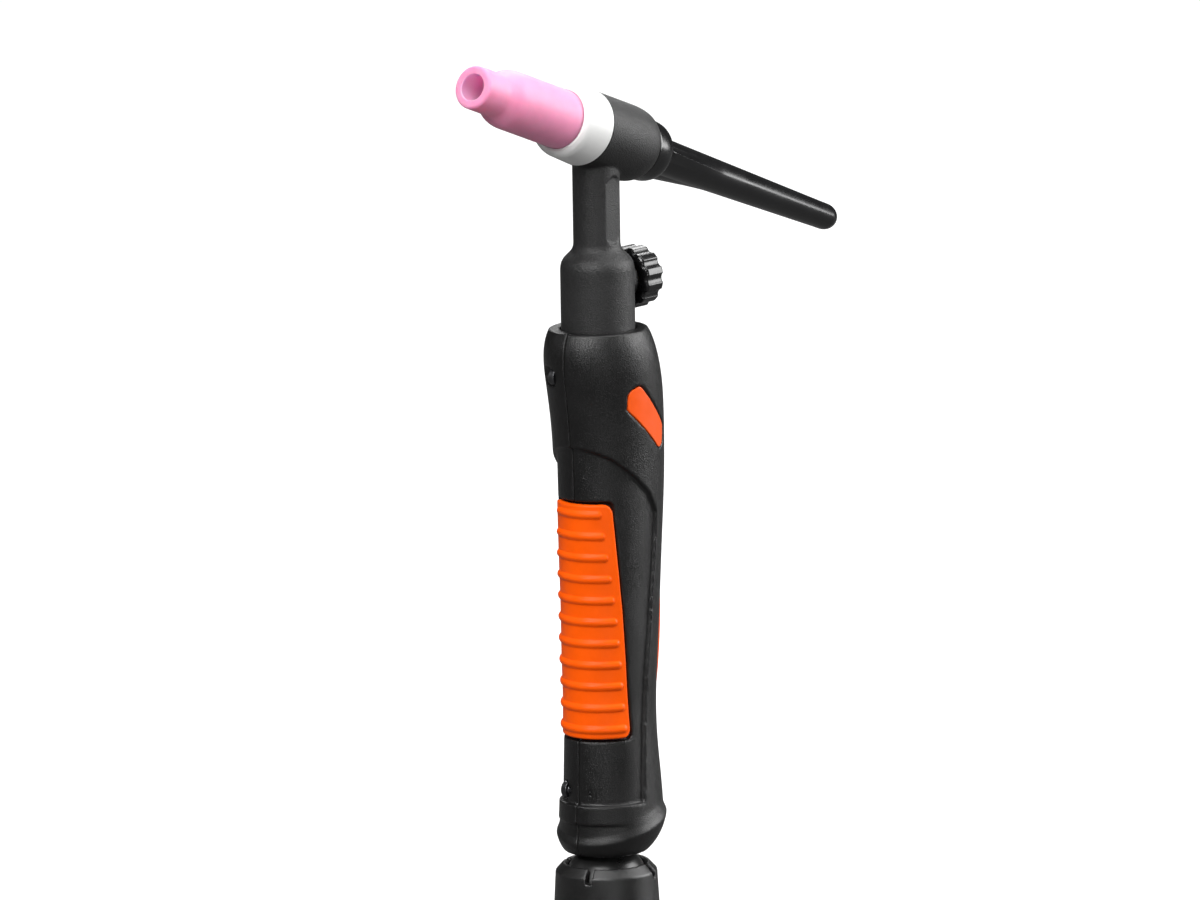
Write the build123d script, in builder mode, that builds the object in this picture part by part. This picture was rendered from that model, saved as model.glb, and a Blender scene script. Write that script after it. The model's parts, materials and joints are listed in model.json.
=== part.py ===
from build123d import *
import math
import os

# Gas-valve TIG torch, air cooled, with a 70 degree head and a ball-jointed handle.
# Millimetres. +Z runs up the handle, the gas nozzle points to -Y, X is the width.
# The origin is the mouth of the cable bore, at the bottom of the cable cup.

# ---- fits and gaps -------------------------------------------------------
close_gap = 0.05  # pieces moulded or screwed together
running_gap = 0.08  # shafts that turn in a bore, per side
loose_gap = 0.35  # pieces that part from each other
parting_gap = 0.10  # between the two handle shells
eps = 0.01

# ---- cable cup and ball joint -------------------------------------------
ball_radius = 13.2
ball_height = 24.5  # centre of the ball above the outlet
ball_play = 0.3
cable_bore_radius = 8.5
cup_mouth_radius = 13.4
cup_widest_radius = 16.3
cup_widest_height = 12.0
cup_rim_radius = 15.3
cup_rim_height = 32.4
cup_rim_chamfer = 2.6
cup_lip_radius = 12.6
slot_count = 4
slot_width = 2.0
slot_depth = 4.4
slot_first_angle = 17.0
cup_foot_height = 3.0
cup_foot_step = 0.9
cup_edge_round = 0.8
cup_bore_height = 29.4  # where the cable bore opens out to the rim
ball_neck_radius = 8.0
ball_bore_radius = 6.4
ball_foot_drop = 9.0  # flat foot of the ball below its centre
ball_foot_chamfer = 1.8
flange_radius = 10.0
flange_thickness = 2.4

# ---- handle ---------------------------------------------------------------
skirt_height = 36.0  # lowest edge of the handle
skirt_opening_radius = 11.3
skirt_web_height = 40.5
web_thickness = 2.8
handle_top = 195.0
shell_wall = 3.8
# outer form: height, half width, half depth, offset of the centre to the back
handle_sections = [
    (46.0, 14.9, 17.2, 2.8),
    (52.0, 14.6, 17.0, 2.8),
    (60.0, 14.2, 16.6, 2.5),
    (72.0, 13.7, 15.9, 2.1),
    (84.0, 13.6, 15.8, 2.2),
    (97.0, 14.0, 16.3, 2.6),
    (112.0, 14.3, 16.9, 3.2),
    (128.5, 14.7, 17.7, 3.6),
    (150.0, 15.2, 18.6, 4.2),
    (165.0, 15.7, 18.7, 3.9),
    (178.5, 16.4, 18.8, 2.4),
    (187.5, 16.4, 17.8, 0.8),
    (192.5, 15.5, 16.3, 0.2),
    (195.0, 14.5, 15.0, 0.0),
]
collar_slope = 0.257  # the collar ring is lower in front than behind
collar_height = 43.4
collar_half_width = 16.3
collar_half_depth = 17.8
collar_offset = 2.9
skirt_edge_radius = 12.4

# ---- grip panel, pads and label plates ------------------------------------
panel_recess = 1.2
pad_pocket_depth = 2.5  # below the outer form
pad_crown_inset = 0.8  # the pad's skin lies this far inside the outer form
rib_inset = -0.2
rib_count = 11
rib_width = 2.2
rib_top = 140.4
rib_pitch = 6.55
pad_top = 143.5
pad_bottom = 72.0
pad_border = 0.8  # groove round the pad
rear_pad_height = 99.5
rear_pad_half_width = 9.7
rear_pad_half_length = 25.5
rear_pad_proud = 0.5
rear_pad_gap = 0.5
pad_corner = 1.2
gap_round = 0.4  # extra corner radius of the pad's groove
label_inset = 0.15  # the label lies this far below the outer form
label_depth = 1.0
label_corner = 2.1
label_border = 0.35

# ---- handle screws ----------------------------------------------------------
# height, distance behind the torch axis, head seat from the parting plane, reach past it
screw_places = [
    (181.7, -14.2, 4.2, 3.0),
    (55.6, -10.6, 4.8, 3.6),
    (165.0, 17.6, 7.0, 5.2),
    (58.5, 13.6, 7.0, 5.2),
]
screw_head_radius = 2.6
screw_head_thickness = 1.9
screw_radius = 1.45
screw_boss_radius = 3.2
screw_recess_width = 0.7
screw_recess_length = 3.0
screw_recess_depth = 1.1
screw_head_clearance = 0.3

# ---- torch body, neck and head --------------------------------------------
barrel_radius = 11.1
barrel_bottom = 176.0
barrel_shoulder = 212.5
neck_radius = 7.05
neck_shoulder = 220.7
head_height = 253.8  # where the head axis crosses the neck axis
head_tilt = 20.0
head_radius = 11.6
head_front = 6.4
head_back = -20.0
head_back_radius = 9.8
head_round = 8.0
core_radius = 8.4
core_bore_radius = 3.4
neck_tube_radius = 4.0
neck_tube_bore = 2.6
valve_body_radius = 8.2
valve_body_bottom = 176.0
valve_body_top = 216.5
stud_radius = 6.0
stud_length = 14.0
stud_hex_width = 16.0
stud_hex_height = 5.0
name_field_height = 230.8
name_field_length = 20.6
name_field_width = 7.4
name_field_depth = 0.8

# ---- gas valve -------------------------------------------------------------
valve_height = 208.0
brass_boss_radius = 5.4
brass_boss_end = 11.4
valve_boss_radius = 6.4
valve_boss_end = 12.0
gland_radius = 4.4
gland_start = 5.2
gland_end = 12.1
stem_radius = 2.2
stem_seat = -0.45
seat_radius = 1.4
stem_point_radius = 0.5
stem_point_length = 1.9
gas_way_radius = 1.8
gas_way_offset = 3.0  # inlet way in front of the torch axis
gas_outlet_offset = 2.0  # outlet way behind it
valve_chamber_radius = 3.3
neck_tube_seat = 5.0  # depth of the neck tube in the valve body
oring_section = 0.65
stem_groove_depth = 0.5
oring_place = 2.8
knob_start = 12.6
knob_end = 21.0
knob_radius = 9.5
flute_count = 12
flute_radius = 1.6
flute_offset = 0.9  # the flutes' centres lie this far outside the knob
insert_radius = 3.6

# ---- nozzle, heat shield, collet, electrode (stations along the head axis) --
tip_face = 62.0
nozzle_bore_radius = 4.0
nozzle_tip_radius = 6.5
nozzle_tip_length = 10.8
nozzle_shoulder = 4.6
nozzle_radius = 8.9
nozzle_length = 47.4
nozzle_tip_round = 1.1
nozzle_throat_length = 16.0
nozzle_chamber_end = 8.0  # behind the collet body's nose
shield_front = 18.3
shield_front_radius = 11.1
shield_lip_radius = 9.7
collet_thread_radius = 5.9
collet_nose_radius = 4.4
collet_tail_radius = 4.9
collet_front = 40.0
collet_back = -3.0
electrode_radius = 1.2
electrode_length = 150.0
electrode_setback = 12.0
electrode_point_length = 5.0
electrode_point_radius = 0.15
gas_hole_count = 4
gas_hole_radius = 0.9
gas_hole_station = 6.0  # behind the collet body's nose
collet_slot_width = 0.5
collet_slot_length = 22.0

# ---- back cap ---------------------------------------------------------------
cap_collar_radius = 9.4
cap_collar_back_radius = 8.2
cap_collar_length = 8.8
cap_grip_radius = 5.7
cap_flat_radius = 0.6
cap_end_radius = 4.0
cap_tip = -124.5
cap_fin_radius = 7.5
cap_fin_width = 4.4
cap_fin_end = -59.0
cap_fin_root = 3.6
cap_fin_count = 3
cap_fin_turn = -8.0
cap_bore_radius = 2.2
cap_insert_radius = 5.0
cap_insert_front = -7.0
cap_oring_section = 0.8
cap_oring_station = -18.5
cap_groove_radius = 4.4
cap_oring_seat_radius = 6.2

# =============================== shared frames ===============================
tilt = math.radians(head_tilt)
head_direction = Vector(0, -math.cos(tilt), math.sin(tilt))
head_centre = Vector(0, 0, head_height)
head_axis = Axis(head_centre, head_direction)
head_profile = Plane(origin=head_centre, x_dir=head_direction, z_dir=(-1, 0, 0))
side_view = Plane.YZ
upright_profile = Plane.XZ
upright_axis = Axis.Z
valve_axis = Axis((0, 0, valve_height), (0, 1, 0))
valve_profile = Plane(origin=(0, 0, valve_height), x_dir=(0, 1, 0), z_dir=(1, 0, 0))


def head_plane(station):
    """Plane square to the head axis at a station, with its normal to the nozzle."""
    return Plane(origin=head_centre + head_direction * station, x_dir=(1, 0, 0), z_dir=head_direction)


def section_at(height):
    """Half width, half depth and offset of the handle's outer form at a height."""
    for lower, upper in zip(handle_sections, handle_sections[1:]):
        if height <= upper[0]:
            share = (height - lower[0]) / (upper[0] - lower[0])
            return [low + share * (high - low) for low, high in zip(lower[1:], upper[1:])]
    return list(handle_sections[-1][1:])


def handle_form(inset, bottom=46.0, top=195.0):
    """Solid of the handle's outer form, made smaller by inset."""
    heights = [row[0] for row in handle_sections if bottom + 4.0 < row[0] < top - 1.5]
    with BuildPart() as form:
        for height in [bottom] + heights + [top]:
            half_width, half_depth, offset_back = section_at(height)
            with BuildSketch(Plane.XY.offset(height)):
                with Locations((0, offset_back)):
                    Ellipse(half_width - inset, half_depth - inset)
        loft()
    return form.part


def side_prism(outline, radius=0.0, reach=40.0):
    """Prism across the handle from an outline in the side view (back distance, height)."""
    with BuildPart() as prism:
        with BuildSketch(side_view) as sketch:
            with BuildLine():
                Polyline(*outline, close=True)
            make_face()
            if radius:
                fillet(sketch.vertices(), radius)
        extrude(amount=reach, both=True)
    return prism.part


collar_centre = Vector(0, collar_offset, collar_height + collar_slope * collar_offset)


def collar_plane(rise, slope):
    """Plane of a collar section, leaning forward by its slope."""
    normal = Vector(0, -slope, 1)
    return Plane(origin=(0, collar_offset, collar_centre.Z + rise), x_dir=(1, 0, 0), z_dir=normal)


# =============================== cable cup ===================================
with BuildPart() as cable_cup:
    with BuildSketch(upright_profile):
        with BuildLine():
            Polyline(
                (cable_bore_radius, 0),
                (cup_mouth_radius, 0),
                (cup_widest_radius - cup_foot_step, cup_foot_height),
                (cup_widest_radius, cup_widest_height),
                (cup_rim_radius, cup_rim_height - cup_rim_chamfer),
                (cup_lip_radius + 0.3, cup_rim_height),
                (cup_lip_radius, cup_rim_height),
                (cable_bore_radius, cup_bore_height),
                close=True,
            )
        make_face()
    revolve(axis=upright_axis)
    with Locations((0, 0, ball_height)):
        Sphere(ball_radius + ball_play, mode=Mode.SUBTRACT)
    for turn in range(slot_count):
        angle = math.radians(slot_first_angle + turn * 360.0 / slot_count)
        outward = Vector(math.cos(angle), math.sin(angle), 0)
        slot_plane = Plane(origin=(0, 0, cup_rim_height - slot_depth), x_dir=outward, z_dir=(0, 0, 1))
        with BuildSketch(slot_plane):
            with Locations((cup_rim_radius, 0)):
                Rectangle(2 * (cup_rim_radius - ball_neck_radius), slot_width)
        extrude(amount=slot_depth + 1, mode=Mode.SUBTRACT)
    rim_edges = cable_cup.edges().filter_by(GeomType.CIRCLE).filter_by(
        lambda edge: edge.radius > cup_mouth_radius - eps and edge.center().Z < cup_rim_height - 0.1
    )
    fillet(rim_edges.filter_by(lambda edge: edge.center().Z < cup_widest_height - 1), cup_edge_round)
cable_cup.part.label = "cable_cup"

# =============================== pivot ball ==================================
flange_bottom = skirt_web_height + web_thickness + running_gap
flange_top = flange_bottom + flange_thickness
with BuildPart() as pivot_ball:
    with Locations((0, 0, ball_height)):
        Sphere(ball_radius)
    with BuildSketch(Plane.XY.offset(ball_height)):
        Circle(ball_neck_radius)
    extrude(amount=flange_top + 2.0 - ball_height)
    with BuildSketch(Plane.XY.offset(flange_bottom)):
        Circle(flange_radius)
    extrude(amount=flange_thickness)
    with BuildSketch(Plane.XY.offset(ball_height - ball_foot_drop)):
        Circle(ball_radius + 1)
    extrude(amount=-ball_radius, mode=Mode.SUBTRACT)
    with BuildSketch(Plane.XY.offset(ball_height - ball_foot_drop)):
        Circle(ball_bore_radius)
    extrude(amount=40, mode=Mode.SUBTRACT)
    foot_edges = pivot_ball.edges().filter_by(GeomType.CIRCLE).group_by(Axis.Z)[0]
    chamfer(foot_edges.sort_by(SortBy.RADIUS)[0], ball_foot_chamfer)
pivot_ball.part.label = "pivot_ball"

# =============================== handle shells ===============================
barrel_bore = barrel_radius + close_gap
pocket_radius = flange_radius + loose_gap
cavity_bottom = 50.0
cavity_top = barrel_bottom - 4.0

panel_outline = [
    (-30.0, 162.0),
    (-14.5, 161.0),
    (-8.6, 157.4),
    (-1.4, 151.3),
    (4.8, 145.4),
    (8.6, 139.5),
    (8.6, 133.0),
    (4.6, 97.0),
    (1.2, 56.0),
    (1.0, 51.7),
    (-30.0, 51.7),
]
pad_outline = [
    (-30.0, pad_top),
    (-7.9, pad_top),
    (-6.6, 128.5),
    (-4.9, 111.0),
    (-2.5, pad_bottom),
    (-30.0, pad_bottom),
]
label_outline = [
    (-0.6, 179.0),
    (13.1, 165.0),
    (12.2, 156.4),
    (-4.7, 172.0),
    (-4.6, 177.4),
]


def grown(outline, amount):
    """Outline moved outward by an amount, kept open towards the front."""
    with BuildSketch() as sketch:
        with BuildLine():
            Polyline(*outline, close=True)
        make_face()
        offset(amount=amount, kind=Kind.INTERSECTION)
    wire = sketch.sketch.face().outer_wire()
    return [(vertex.X, vertex.Y) for vertex in [edge @ 0 for edge in wire.order_edges()]]


with BuildPart() as collar_form:
    with BuildSketch(Plane.XY.offset(skirt_height)):
        Circle(skirt_edge_radius)
    with BuildSketch(collar_plane(-4.6, 0.5 * collar_slope)):
        with Locations((0, -0.9)):
            Ellipse(collar_half_width - 1.5, collar_half_depth - 2.2)
    with BuildSketch(collar_plane(0, collar_slope)):
        Ellipse(collar_half_width, collar_half_depth)
    loft()
    with BuildSketch(collar_plane(0, collar_slope)):
        Ellipse(collar_half_width, collar_half_depth)
    with BuildSketch(collar_plane(2.0, collar_slope)):
        Ellipse(collar_half_width - 0.9, collar_half_depth - 0.8)
    loft(ruled=True)
    with BuildSketch(collar_plane(2.0, collar_slope)):
        Ellipse(collar_half_width - 0.9, collar_half_depth - 0.8)
    with BuildSketch(collar_plane(6.0, 0.6 * collar_slope)):
        Ellipse(collar_half_width - 1.9, collar_half_depth - 1.4)
    loft(ruled=True)

outer_form = handle_form(0)
panel_floor = handle_form(panel_recess)
pocket_floor = handle_form(pad_pocket_depth)
label_floor = handle_form(label_depth)
cavity_form = handle_form(shell_wall, cavity_bottom, cavity_top)
panel_prism = side_prism(panel_outline)
pad_pocket_prism = side_prism(grown(pad_outline, pad_border), pad_corner + gap_round)
label_pocket_prism = side_prism(grown(label_outline, label_border), label_corner + label_border)

with BuildPart() as rear_pad_prism:
    with BuildSketch(Plane.XZ):
        with Locations((0, rear_pad_height)):
            Ellipse(rear_pad_half_width, rear_pad_half_length)
    extrude(amount=-40)

with BuildPart() as rear_pocket_prism:
    with BuildSketch(Plane.XZ):
        with Locations((0, rear_pad_height)):
            Ellipse(rear_pad_half_width + rear_pad_gap, rear_pad_half_length + rear_pad_gap)
    extrude(amount=-40)

panel_cut = (outer_form - panel_floor) & panel_prism
pad_cut = (outer_form - pocket_floor) & pad_pocket_prism
label_cut = (outer_form - label_floor) & label_pocket_prism
rear_cut = (outer_form - panel_floor) & rear_pocket_prism.part

with BuildPart() as screw_bosses:
    for place_height, place_back, seat, reach in screw_places:
        if place_height < cavity_top:
            with BuildSketch(Plane.YZ):
                with Locations((place_back, place_height)):
                    Circle(screw_boss_radius)
            extrude(amount=seat + 1.5, both=True)
    add(handle_form(pad_pocket_depth), mode=Mode.INTERSECT)

with BuildPart() as handle_blank:
    add(outer_form)
    add(collar_form.part)
    add(panel_cut, mode=Mode.SUBTRACT)
    add(pad_cut, mode=Mode.SUBTRACT)
    add(label_cut, mode=Mode.SUBTRACT)
    add(rear_cut, mode=Mode.SUBTRACT)
    add(cavity_form, mode=Mode.SUBTRACT)
    add(screw_bosses.part)
    with BuildSketch(Plane.XY.offset(cavity_top - 1)):
        Circle(barrel_bore)
    extrude(amount=handle_top - cavity_top + 2, mode=Mode.SUBTRACT)
    with BuildSketch(Plane.XY.offset(handle_top - 6)):
        Circle(barrel_radius + loose_gap)
    extrude(amount=7, mode=Mode.SUBTRACT)
    with BuildSketch(Plane.XY.offset(skirt_height - 1)):
        Circle(skirt_opening_radius)
    extrude(amount=skirt_web_height - skirt_height + 1, mode=Mode.SUBTRACT)
    with BuildSketch(Plane.XY.offset(skirt_web_height - 1)):
        Circle(ball_neck_radius + running_gap)
    extrude(amount=web_thickness + 2, mode=Mode.SUBTRACT)
    with BuildSketch(Plane.XY.offset(skirt_web_height + web_thickness)):
        Circle(pocket_radius)
    extrude(amount=cavity_bottom - skirt_web_height - web_thickness + eps, mode=Mode.SUBTRACT)


def shell_half(side):
    """One half of the handle, with its screw holes; side is -1 for left, +1 for right."""
    with BuildPart() as half:
        add(handle_blank.part)
        with BuildSketch(Plane.YZ.offset(side * parting_gap / 2)):
            with Locations((0, 120)):
                Rectangle(100, 260)
        extrude(amount=side * 40, mode=Mode.INTERSECT)
        for place_height, place_back, seat, reach in screw_places:
            with BuildSketch(Plane.YZ):
                with Locations((place_back, place_height)):
                    Circle(screw_radius + close_gap)
            depth = seat + 1 if side < 0 else reach + 0.4
            extrude(amount=side * depth, mode=Mode.SUBTRACT)
            if side < 0:
                with BuildSketch(Plane.YZ.offset(-seat)):
                    with Locations((place_back, place_height)):
                        Circle(screw_head_radius + screw_head_clearance)
                extrude(amount=-40, mode=Mode.SUBTRACT)
    return half.part


handle_shell_left = shell_half(-1)
handle_shell_left.label = "handle_shell_left"
handle_shell_right = shell_half(1)
handle_shell_right.label = "handle_shell_right"

with BuildPart() as handle_screws:
    for place_height, place_back, seat, reach in screw_places:
        with BuildSketch(Plane.YZ.offset(-seat)):
            with Locations((place_back, place_height)):
                Circle(screw_head_radius)
        extrude(amount=-screw_head_thickness)
        with BuildSketch(Plane.YZ.offset(-seat)):
            with Locations((place_back, place_height)):
                Circle(screw_radius)
        extrude(amount=seat + reach)
        with BuildSketch(Plane.YZ.offset(-seat - screw_head_thickness)):
            with Locations((place_back, place_height)):
                Rectangle(screw_recess_width, screw_recess_length)
                Rectangle(screw_recess_length, screw_recess_width)
        extrude(amount=screw_recess_depth, mode=Mode.SUBTRACT)
handle_screws.part.label = "handle_screws"

# =============================== grip pads and labels ========================
pad_skin = handle_form(pad_crown_inset)
pad_base = handle_form(pad_pocket_depth - close_gap)

with BuildPart() as rib_stack:
    for number in range(rib_count):
        rib_height = rib_top - number * rib_pitch
        half_width, half_depth, offset_back = section_at(rib_height)
        with BuildSketch(Plane.XY.offset(rib_height - rib_width / 2)):
            with Locations((0, offset_back)):
                Ellipse(half_width - rib_inset, half_depth - rib_inset)
        extrude(amount=rib_width)

rib_outline = [
    (-30.0, pad_top - 1),
    (-10.4, pad_top - 1),
    (-9.0, 128.5),
    (-6.8, 111.0),
    (-3.8, pad_bottom + 1),
    (-30.0, pad_bottom + 1),
]
rib_bands = rib_stack.part & side_prism(rib_outline)

with BuildPart() as front_grip_pad:
    add(pad_skin)
    add(side_prism(pad_outline, pad_corner), mode=Mode.INTERSECT)
    add(rib_bands)
    add(pad_base, mode=Mode.SUBTRACT)
front_grip_pad.part.label = "front_grip_pad"

with BuildPart() as rear_grip_pad:
    add(handle_form(-rear_pad_proud))
    add(rear_pad_prism.part, mode=Mode.INTERSECT)
    add(handle_form(panel_recess - close_gap), mode=Mode.SUBTRACT)
rear_grip_pad.part.label = "rear_grip_pad"

label_ring = handle_form(label_inset) - handle_form(label_depth - close_gap)
label_band = label_ring & side_prism(label_outline, label_corner)
label_right = (label_band & Pos(30, 0, 120) * Box(58, 80, 240)).solids()[0]
label_left = (label_band & Pos(-30, 0, 120) * Box(58, 80, 240)).solids()[0]
label_right.label = "label_plate_right"
label_left.label = "label_plate_left"

# =============================== head and neck moulding ======================
shoulder_rise = neck_shoulder - barrel_shoulder
with BuildPart() as head_insulator:
    with BuildSketch(head_profile):
        with BuildLine():
            Line((head_front, 0), (head_front, head_radius))
            Line((head_front, head_radius), (head_back + head_round, head_radius))
            Bezier(
                (head_back + head_round, head_radius),
                (head_back + 0.35 * head_round, head_radius),
                (head_back, head_back_radius + 0.5 * (head_radius - head_back_radius)),
                (head_back, head_back_radius - 0.4),
            )
            Line((head_back, head_back_radius - 0.4), (head_back, 0))
            Line((head_back, 0), (head_front, 0))
        make_face()
    revolve(axis=head_axis)
    with BuildSketch(upright_profile):
        with BuildLine():
            Line((0, barrel_bottom), (barrel_radius, barrel_bottom))
            Line((barrel_radius, barrel_bottom), (barrel_radius, barrel_shoulder))
            Bezier(
                (barrel_radius, barrel_shoulder),
                (barrel_radius, barrel_shoulder + 0.62 * shoulder_rise),
                (neck_radius, neck_shoulder - 0.45 * shoulder_rise),
                (neck_radius, neck_shoulder),
            )
            Line((neck_radius, neck_shoulder), (neck_radius, head_height))
            Line((neck_radius, head_height), (0, head_height))
            Line((0, head_height), (0, barrel_bottom))
        make_face()
    revolve(axis=upright_axis)
    with BuildSketch(valve_profile):
        Rectangle(valve_boss_end, valve_boss_radius, align=(Align.MIN, Align.MIN))
    revolve(axis=valve_axis)
    # bores for the brass core, the neck tube, the valve body and the gland
    with BuildSketch(head_plane(head_back - 1)):
        Circle(core_radius + close_gap)
    extrude(amount=head_front - head_back + 2, mode=Mode.SUBTRACT)
    with BuildSketch(Plane.XY.offset(barrel_bottom - 1)):
        Circle(valve_body_radius + close_gap)
    extrude(amount=valve_body_top - barrel_bottom + 1 + close_gap, mode=Mode.SUBTRACT)
    with BuildSketch(Plane.XY.offset(valve_body_top - 1)):
        Circle(neck_tube_radius + close_gap)
    extrude(amount=head_height - valve_body_top + 1, mode=Mode.SUBTRACT)
    with BuildSketch(Plane.XZ.offset(-valve_body_radius + 2)):
        with Locations((0, valve_height)):
            Circle(gland_radius + close_gap)
    extrude(amount=-20, mode=Mode.SUBTRACT)
    with BuildSketch(Plane.XZ):
        with Locations((0, valve_height)):
            Circle(brass_boss_radius + close_gap)
    extrude(amount=-brass_boss_end - close_gap, mode=Mode.SUBTRACT)
    # long shallow field on both flanks of the neck
    for side in (-1, 1):
        with BuildSketch(Plane.YZ.offset(side * (neck_radius - name_field_depth))):
            with Locations((0, name_field_height)):
                SlotOverall(name_field_length, name_field_width, rotation=90)
        extrude(amount=side * 3, mode=Mode.SUBTRACT)
head_insulator.part.label = "head_insulator"

# =============================== head core, neck tube ========================
core_front = head_front
core_back = head_back + 1.0
with BuildPart() as head_core:
    with BuildSketch(head_plane(core_back)):
        Circle(core_radius)
    extrude(amount=core_front - core_back)
    with BuildSketch(head_plane(core_back)):
        Circle(cap_insert_radius + close_gap)
    extrude(amount=cap_insert_front - core_back + 0.5, mode=Mode.SUBTRACT)
    with BuildSketch(head_plane(core_back)):
        Circle(cap_oring_seat_radius)
    extrude(amount=cap_oring_station + cap_oring_section + 0.4 - core_back, mode=Mode.SUBTRACT)
    with BuildSketch(head_plane(core_back)):
        Circle(core_bore_radius)
    extrude(amount=core_front - core_back + 1, mode=Mode.SUBTRACT)
    with BuildSketch(head_plane(core_front)):
        Circle(collet_tail_radius + close_gap)
    extrude(amount=collet_back - core_front - 0.1, mode=Mode.SUBTRACT)
    with BuildSketch(Plane.XY.offset(head_height - core_radius - 4)):
        Circle(neck_tube_radius + close_gap)
    extrude(amount=core_radius + 4 - collet_tail_radius - 1.6, mode=Mode.SUBTRACT)
    with BuildSketch(Plane.XY.offset(head_height - core_radius - 4)):
        Circle(neck_tube_bore)
    extrude(amount=core_radius + 4, mode=Mode.SUBTRACT)
head_core.part.label = "head_core"

tube_top = head_height - collet_tail_radius - 1.7
with BuildPart() as neck_tube:
    with BuildSketch(Plane.XY.offset(valve_body_top - neck_tube_seat)):
        Circle(neck_tube_radius)
        Circle(neck_tube_bore, mode=Mode.SUBTRACT)
    extrude(amount=tube_top - valve_body_top + neck_tube_seat)
neck_tube.part.label = "neck_tube"

# =============================== gas valve ===================================
stud_bottom = valve_body_bottom - stud_hex_height - stud_length
with BuildPart() as valve_body:
    with BuildSketch(Plane.XY.offset(valve_body_bottom)):
        Circle(valve_body_radius)
    extrude(amount=valve_body_top - valve_body_bottom)
    with BuildSketch(Plane.XZ):
        with Locations((0, valve_height)):
            Circle(brass_boss_radius)
    extrude(amount=-brass_boss_end)
    with BuildSketch(Plane.XY.offset(valve_body_top - neck_tube_seat - close_gap)):
        Circle(neck_tube_radius + close_gap)
    extrude(amount=10, mode=Mode.SUBTRACT)
    with BuildSketch(Plane.XY.offset(valve_height)):
        with Locations((0, gas_outlet_offset)):
            Circle(gas_way_radius)
    extrude(amount=10, mode=Mode.SUBTRACT)
    with BuildSketch(Plane.XY.offset(valve_body_bottom)):
        Circle(stud_radius - 1 + close_gap)
    extrude(amount=8, mode=Mode.SUBTRACT)
    with BuildSketch(Plane.XY.offset(valve_body_bottom)):
        with Locations((0, -gas_way_offset)):
            Circle(gas_way_radius)
    extrude(amount=valve_height - valve_body_bottom, mode=Mode.SUBTRACT)
    with BuildSketch(valve_profile):
        with BuildLine():
            Polyline(
                (-3.0, 0),
                (-3.0, seat_radius),
                (0.4, seat_radius),
                (0.4, valve_chamber_radius),
                (gland_start - 0.4, valve_chamber_radius),
                (gland_start - 0.4, gland_radius + close_gap),
                (20.0, gland_radius + close_gap),
                (20.0, 0),
                close=True,
            )
        make_face()
    revolve(axis=valve_axis, mode=Mode.SUBTRACT)
valve_body.part.label = "valve_body"

with BuildPart() as valve_gland:
    with BuildSketch(valve_profile):
        with BuildLine():
            Polyline(
                (gland_start, stem_radius + running_gap),
                (gland_start, gland_radius),
                (gland_end, gland_radius),
                (gland_end, stem_radius + running_gap),
                close=True,
            )
        make_face()
    revolve(axis=valve_axis)
valve_gland.part.label = "valve_gland"

groove_radius = stem_radius - stem_groove_depth
with BuildPart() as valve_stem:
    with BuildSketch(valve_profile):
        with BuildLine():
            Polyline(
                (stem_seat, 0),
                (stem_seat, stem_point_radius),
                (stem_seat + stem_point_length, stem_radius),
                (oring_place - oring_section - 0.1, stem_radius),
                (oring_place - oring_section - 0.1, groove_radius),
                (oring_place + oring_section + 0.1, groove_radius),
                (oring_place + oring_section + 0.1, stem_radius),
                (knob_end - 1.6, stem_radius),
                (knob_end - 1.6, 0),
                close=True,
            )
        make_face()
    revolve(axis=valve_axis)
valve_stem.part.label = "valve_stem"

with BuildPart() as stem_oring:
    with BuildSketch(valve_profile):
        with Locations((oring_place, groove_radius + oring_section + 0.06)):
            Circle(oring_section)
    revolve(axis=valve_axis)
stem_oring.part.label = "stem_oring"

with BuildPart() as knob_insert:
    with BuildSketch(valve_profile):
        Rectangle(knob_end - 1.4 - knob_start - 0.3, insert_radius, align=(Align.MIN, Align.MIN))
    revolve(axis=valve_axis)
    with BuildSketch(Plane.XZ):
        with Locations((0, valve_height)):
            Circle(stem_radius + close_gap)
    extrude(amount=-30, mode=Mode.SUBTRACT)
knob_insert.part = knob_insert.part.moved(Location((0, knob_start + 0.3, 0)))
knob_insert.part.label = "knob_insert"

with BuildPart() as valve_knob:
    with BuildSketch(valve_profile):
        with BuildLine():
            Polyline(
                (knob_start, insert_radius + close_gap),
                (knob_start, knob_radius - 3.0),
                (knob_start + 0.9, knob_radius - 1.0),
                (knob_start, knob_radius - 0.7),
                (knob_start + 0.5, knob_radius),
                (knob_end - 1.6, knob_radius - 0.3),
                (knob_end - 0.4, knob_radius - 1.3),
                (knob_end, knob_radius - 2.4),
                (knob_end, 0),
                (knob_end - 1.3, 0),
                (knob_end - 1.3, insert_radius + close_gap),
                close=True,
            )
        make_face()
    revolve(axis=valve_axis)
    with BuildSketch(Plane(origin=(0, knob_start - 1, valve_height), x_dir=(1, 0, 0), z_dir=(0, 1, 0))):
        with PolarLocations(knob_radius + flute_offset, flute_count):
            Circle(flute_radius)
    extrude(amount=knob_end - knob_start + 2, mode=Mode.SUBTRACT)
valve_knob.part.label = "valve_knob"

with BuildPart() as power_stud:
    with BuildSketch(Plane.XY.offset(valve_body_bottom - close_gap)):
        Circle(stud_radius - 1)
    extrude(amount=7.5)
    with BuildSketch(Plane.XY.offset(valve_body_bottom - close_gap)):
        RegularPolygon(stud_hex_width / 2, 6, major_radius=False)
    extrude(amount=-stud_hex_height + close_gap)
    with BuildSketch(Plane.XY.offset(valve_body_bottom - stud_hex_height)):
        Circle(stud_radius)
    extrude(amount=-stud_length)
    with BuildSketch(Plane.XY.offset(stud_bottom)):
        Circle(neck_tube_bore)
    extrude(amount=60, mode=Mode.SUBTRACT)
    chamfer(power_stud.edges().filter_by(GeomType.CIRCLE).group_by(Axis.Z)[0].sort_by(SortBy.RADIUS)[-1], 0.8)
power_stud.part.label = "power_stud"

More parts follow.
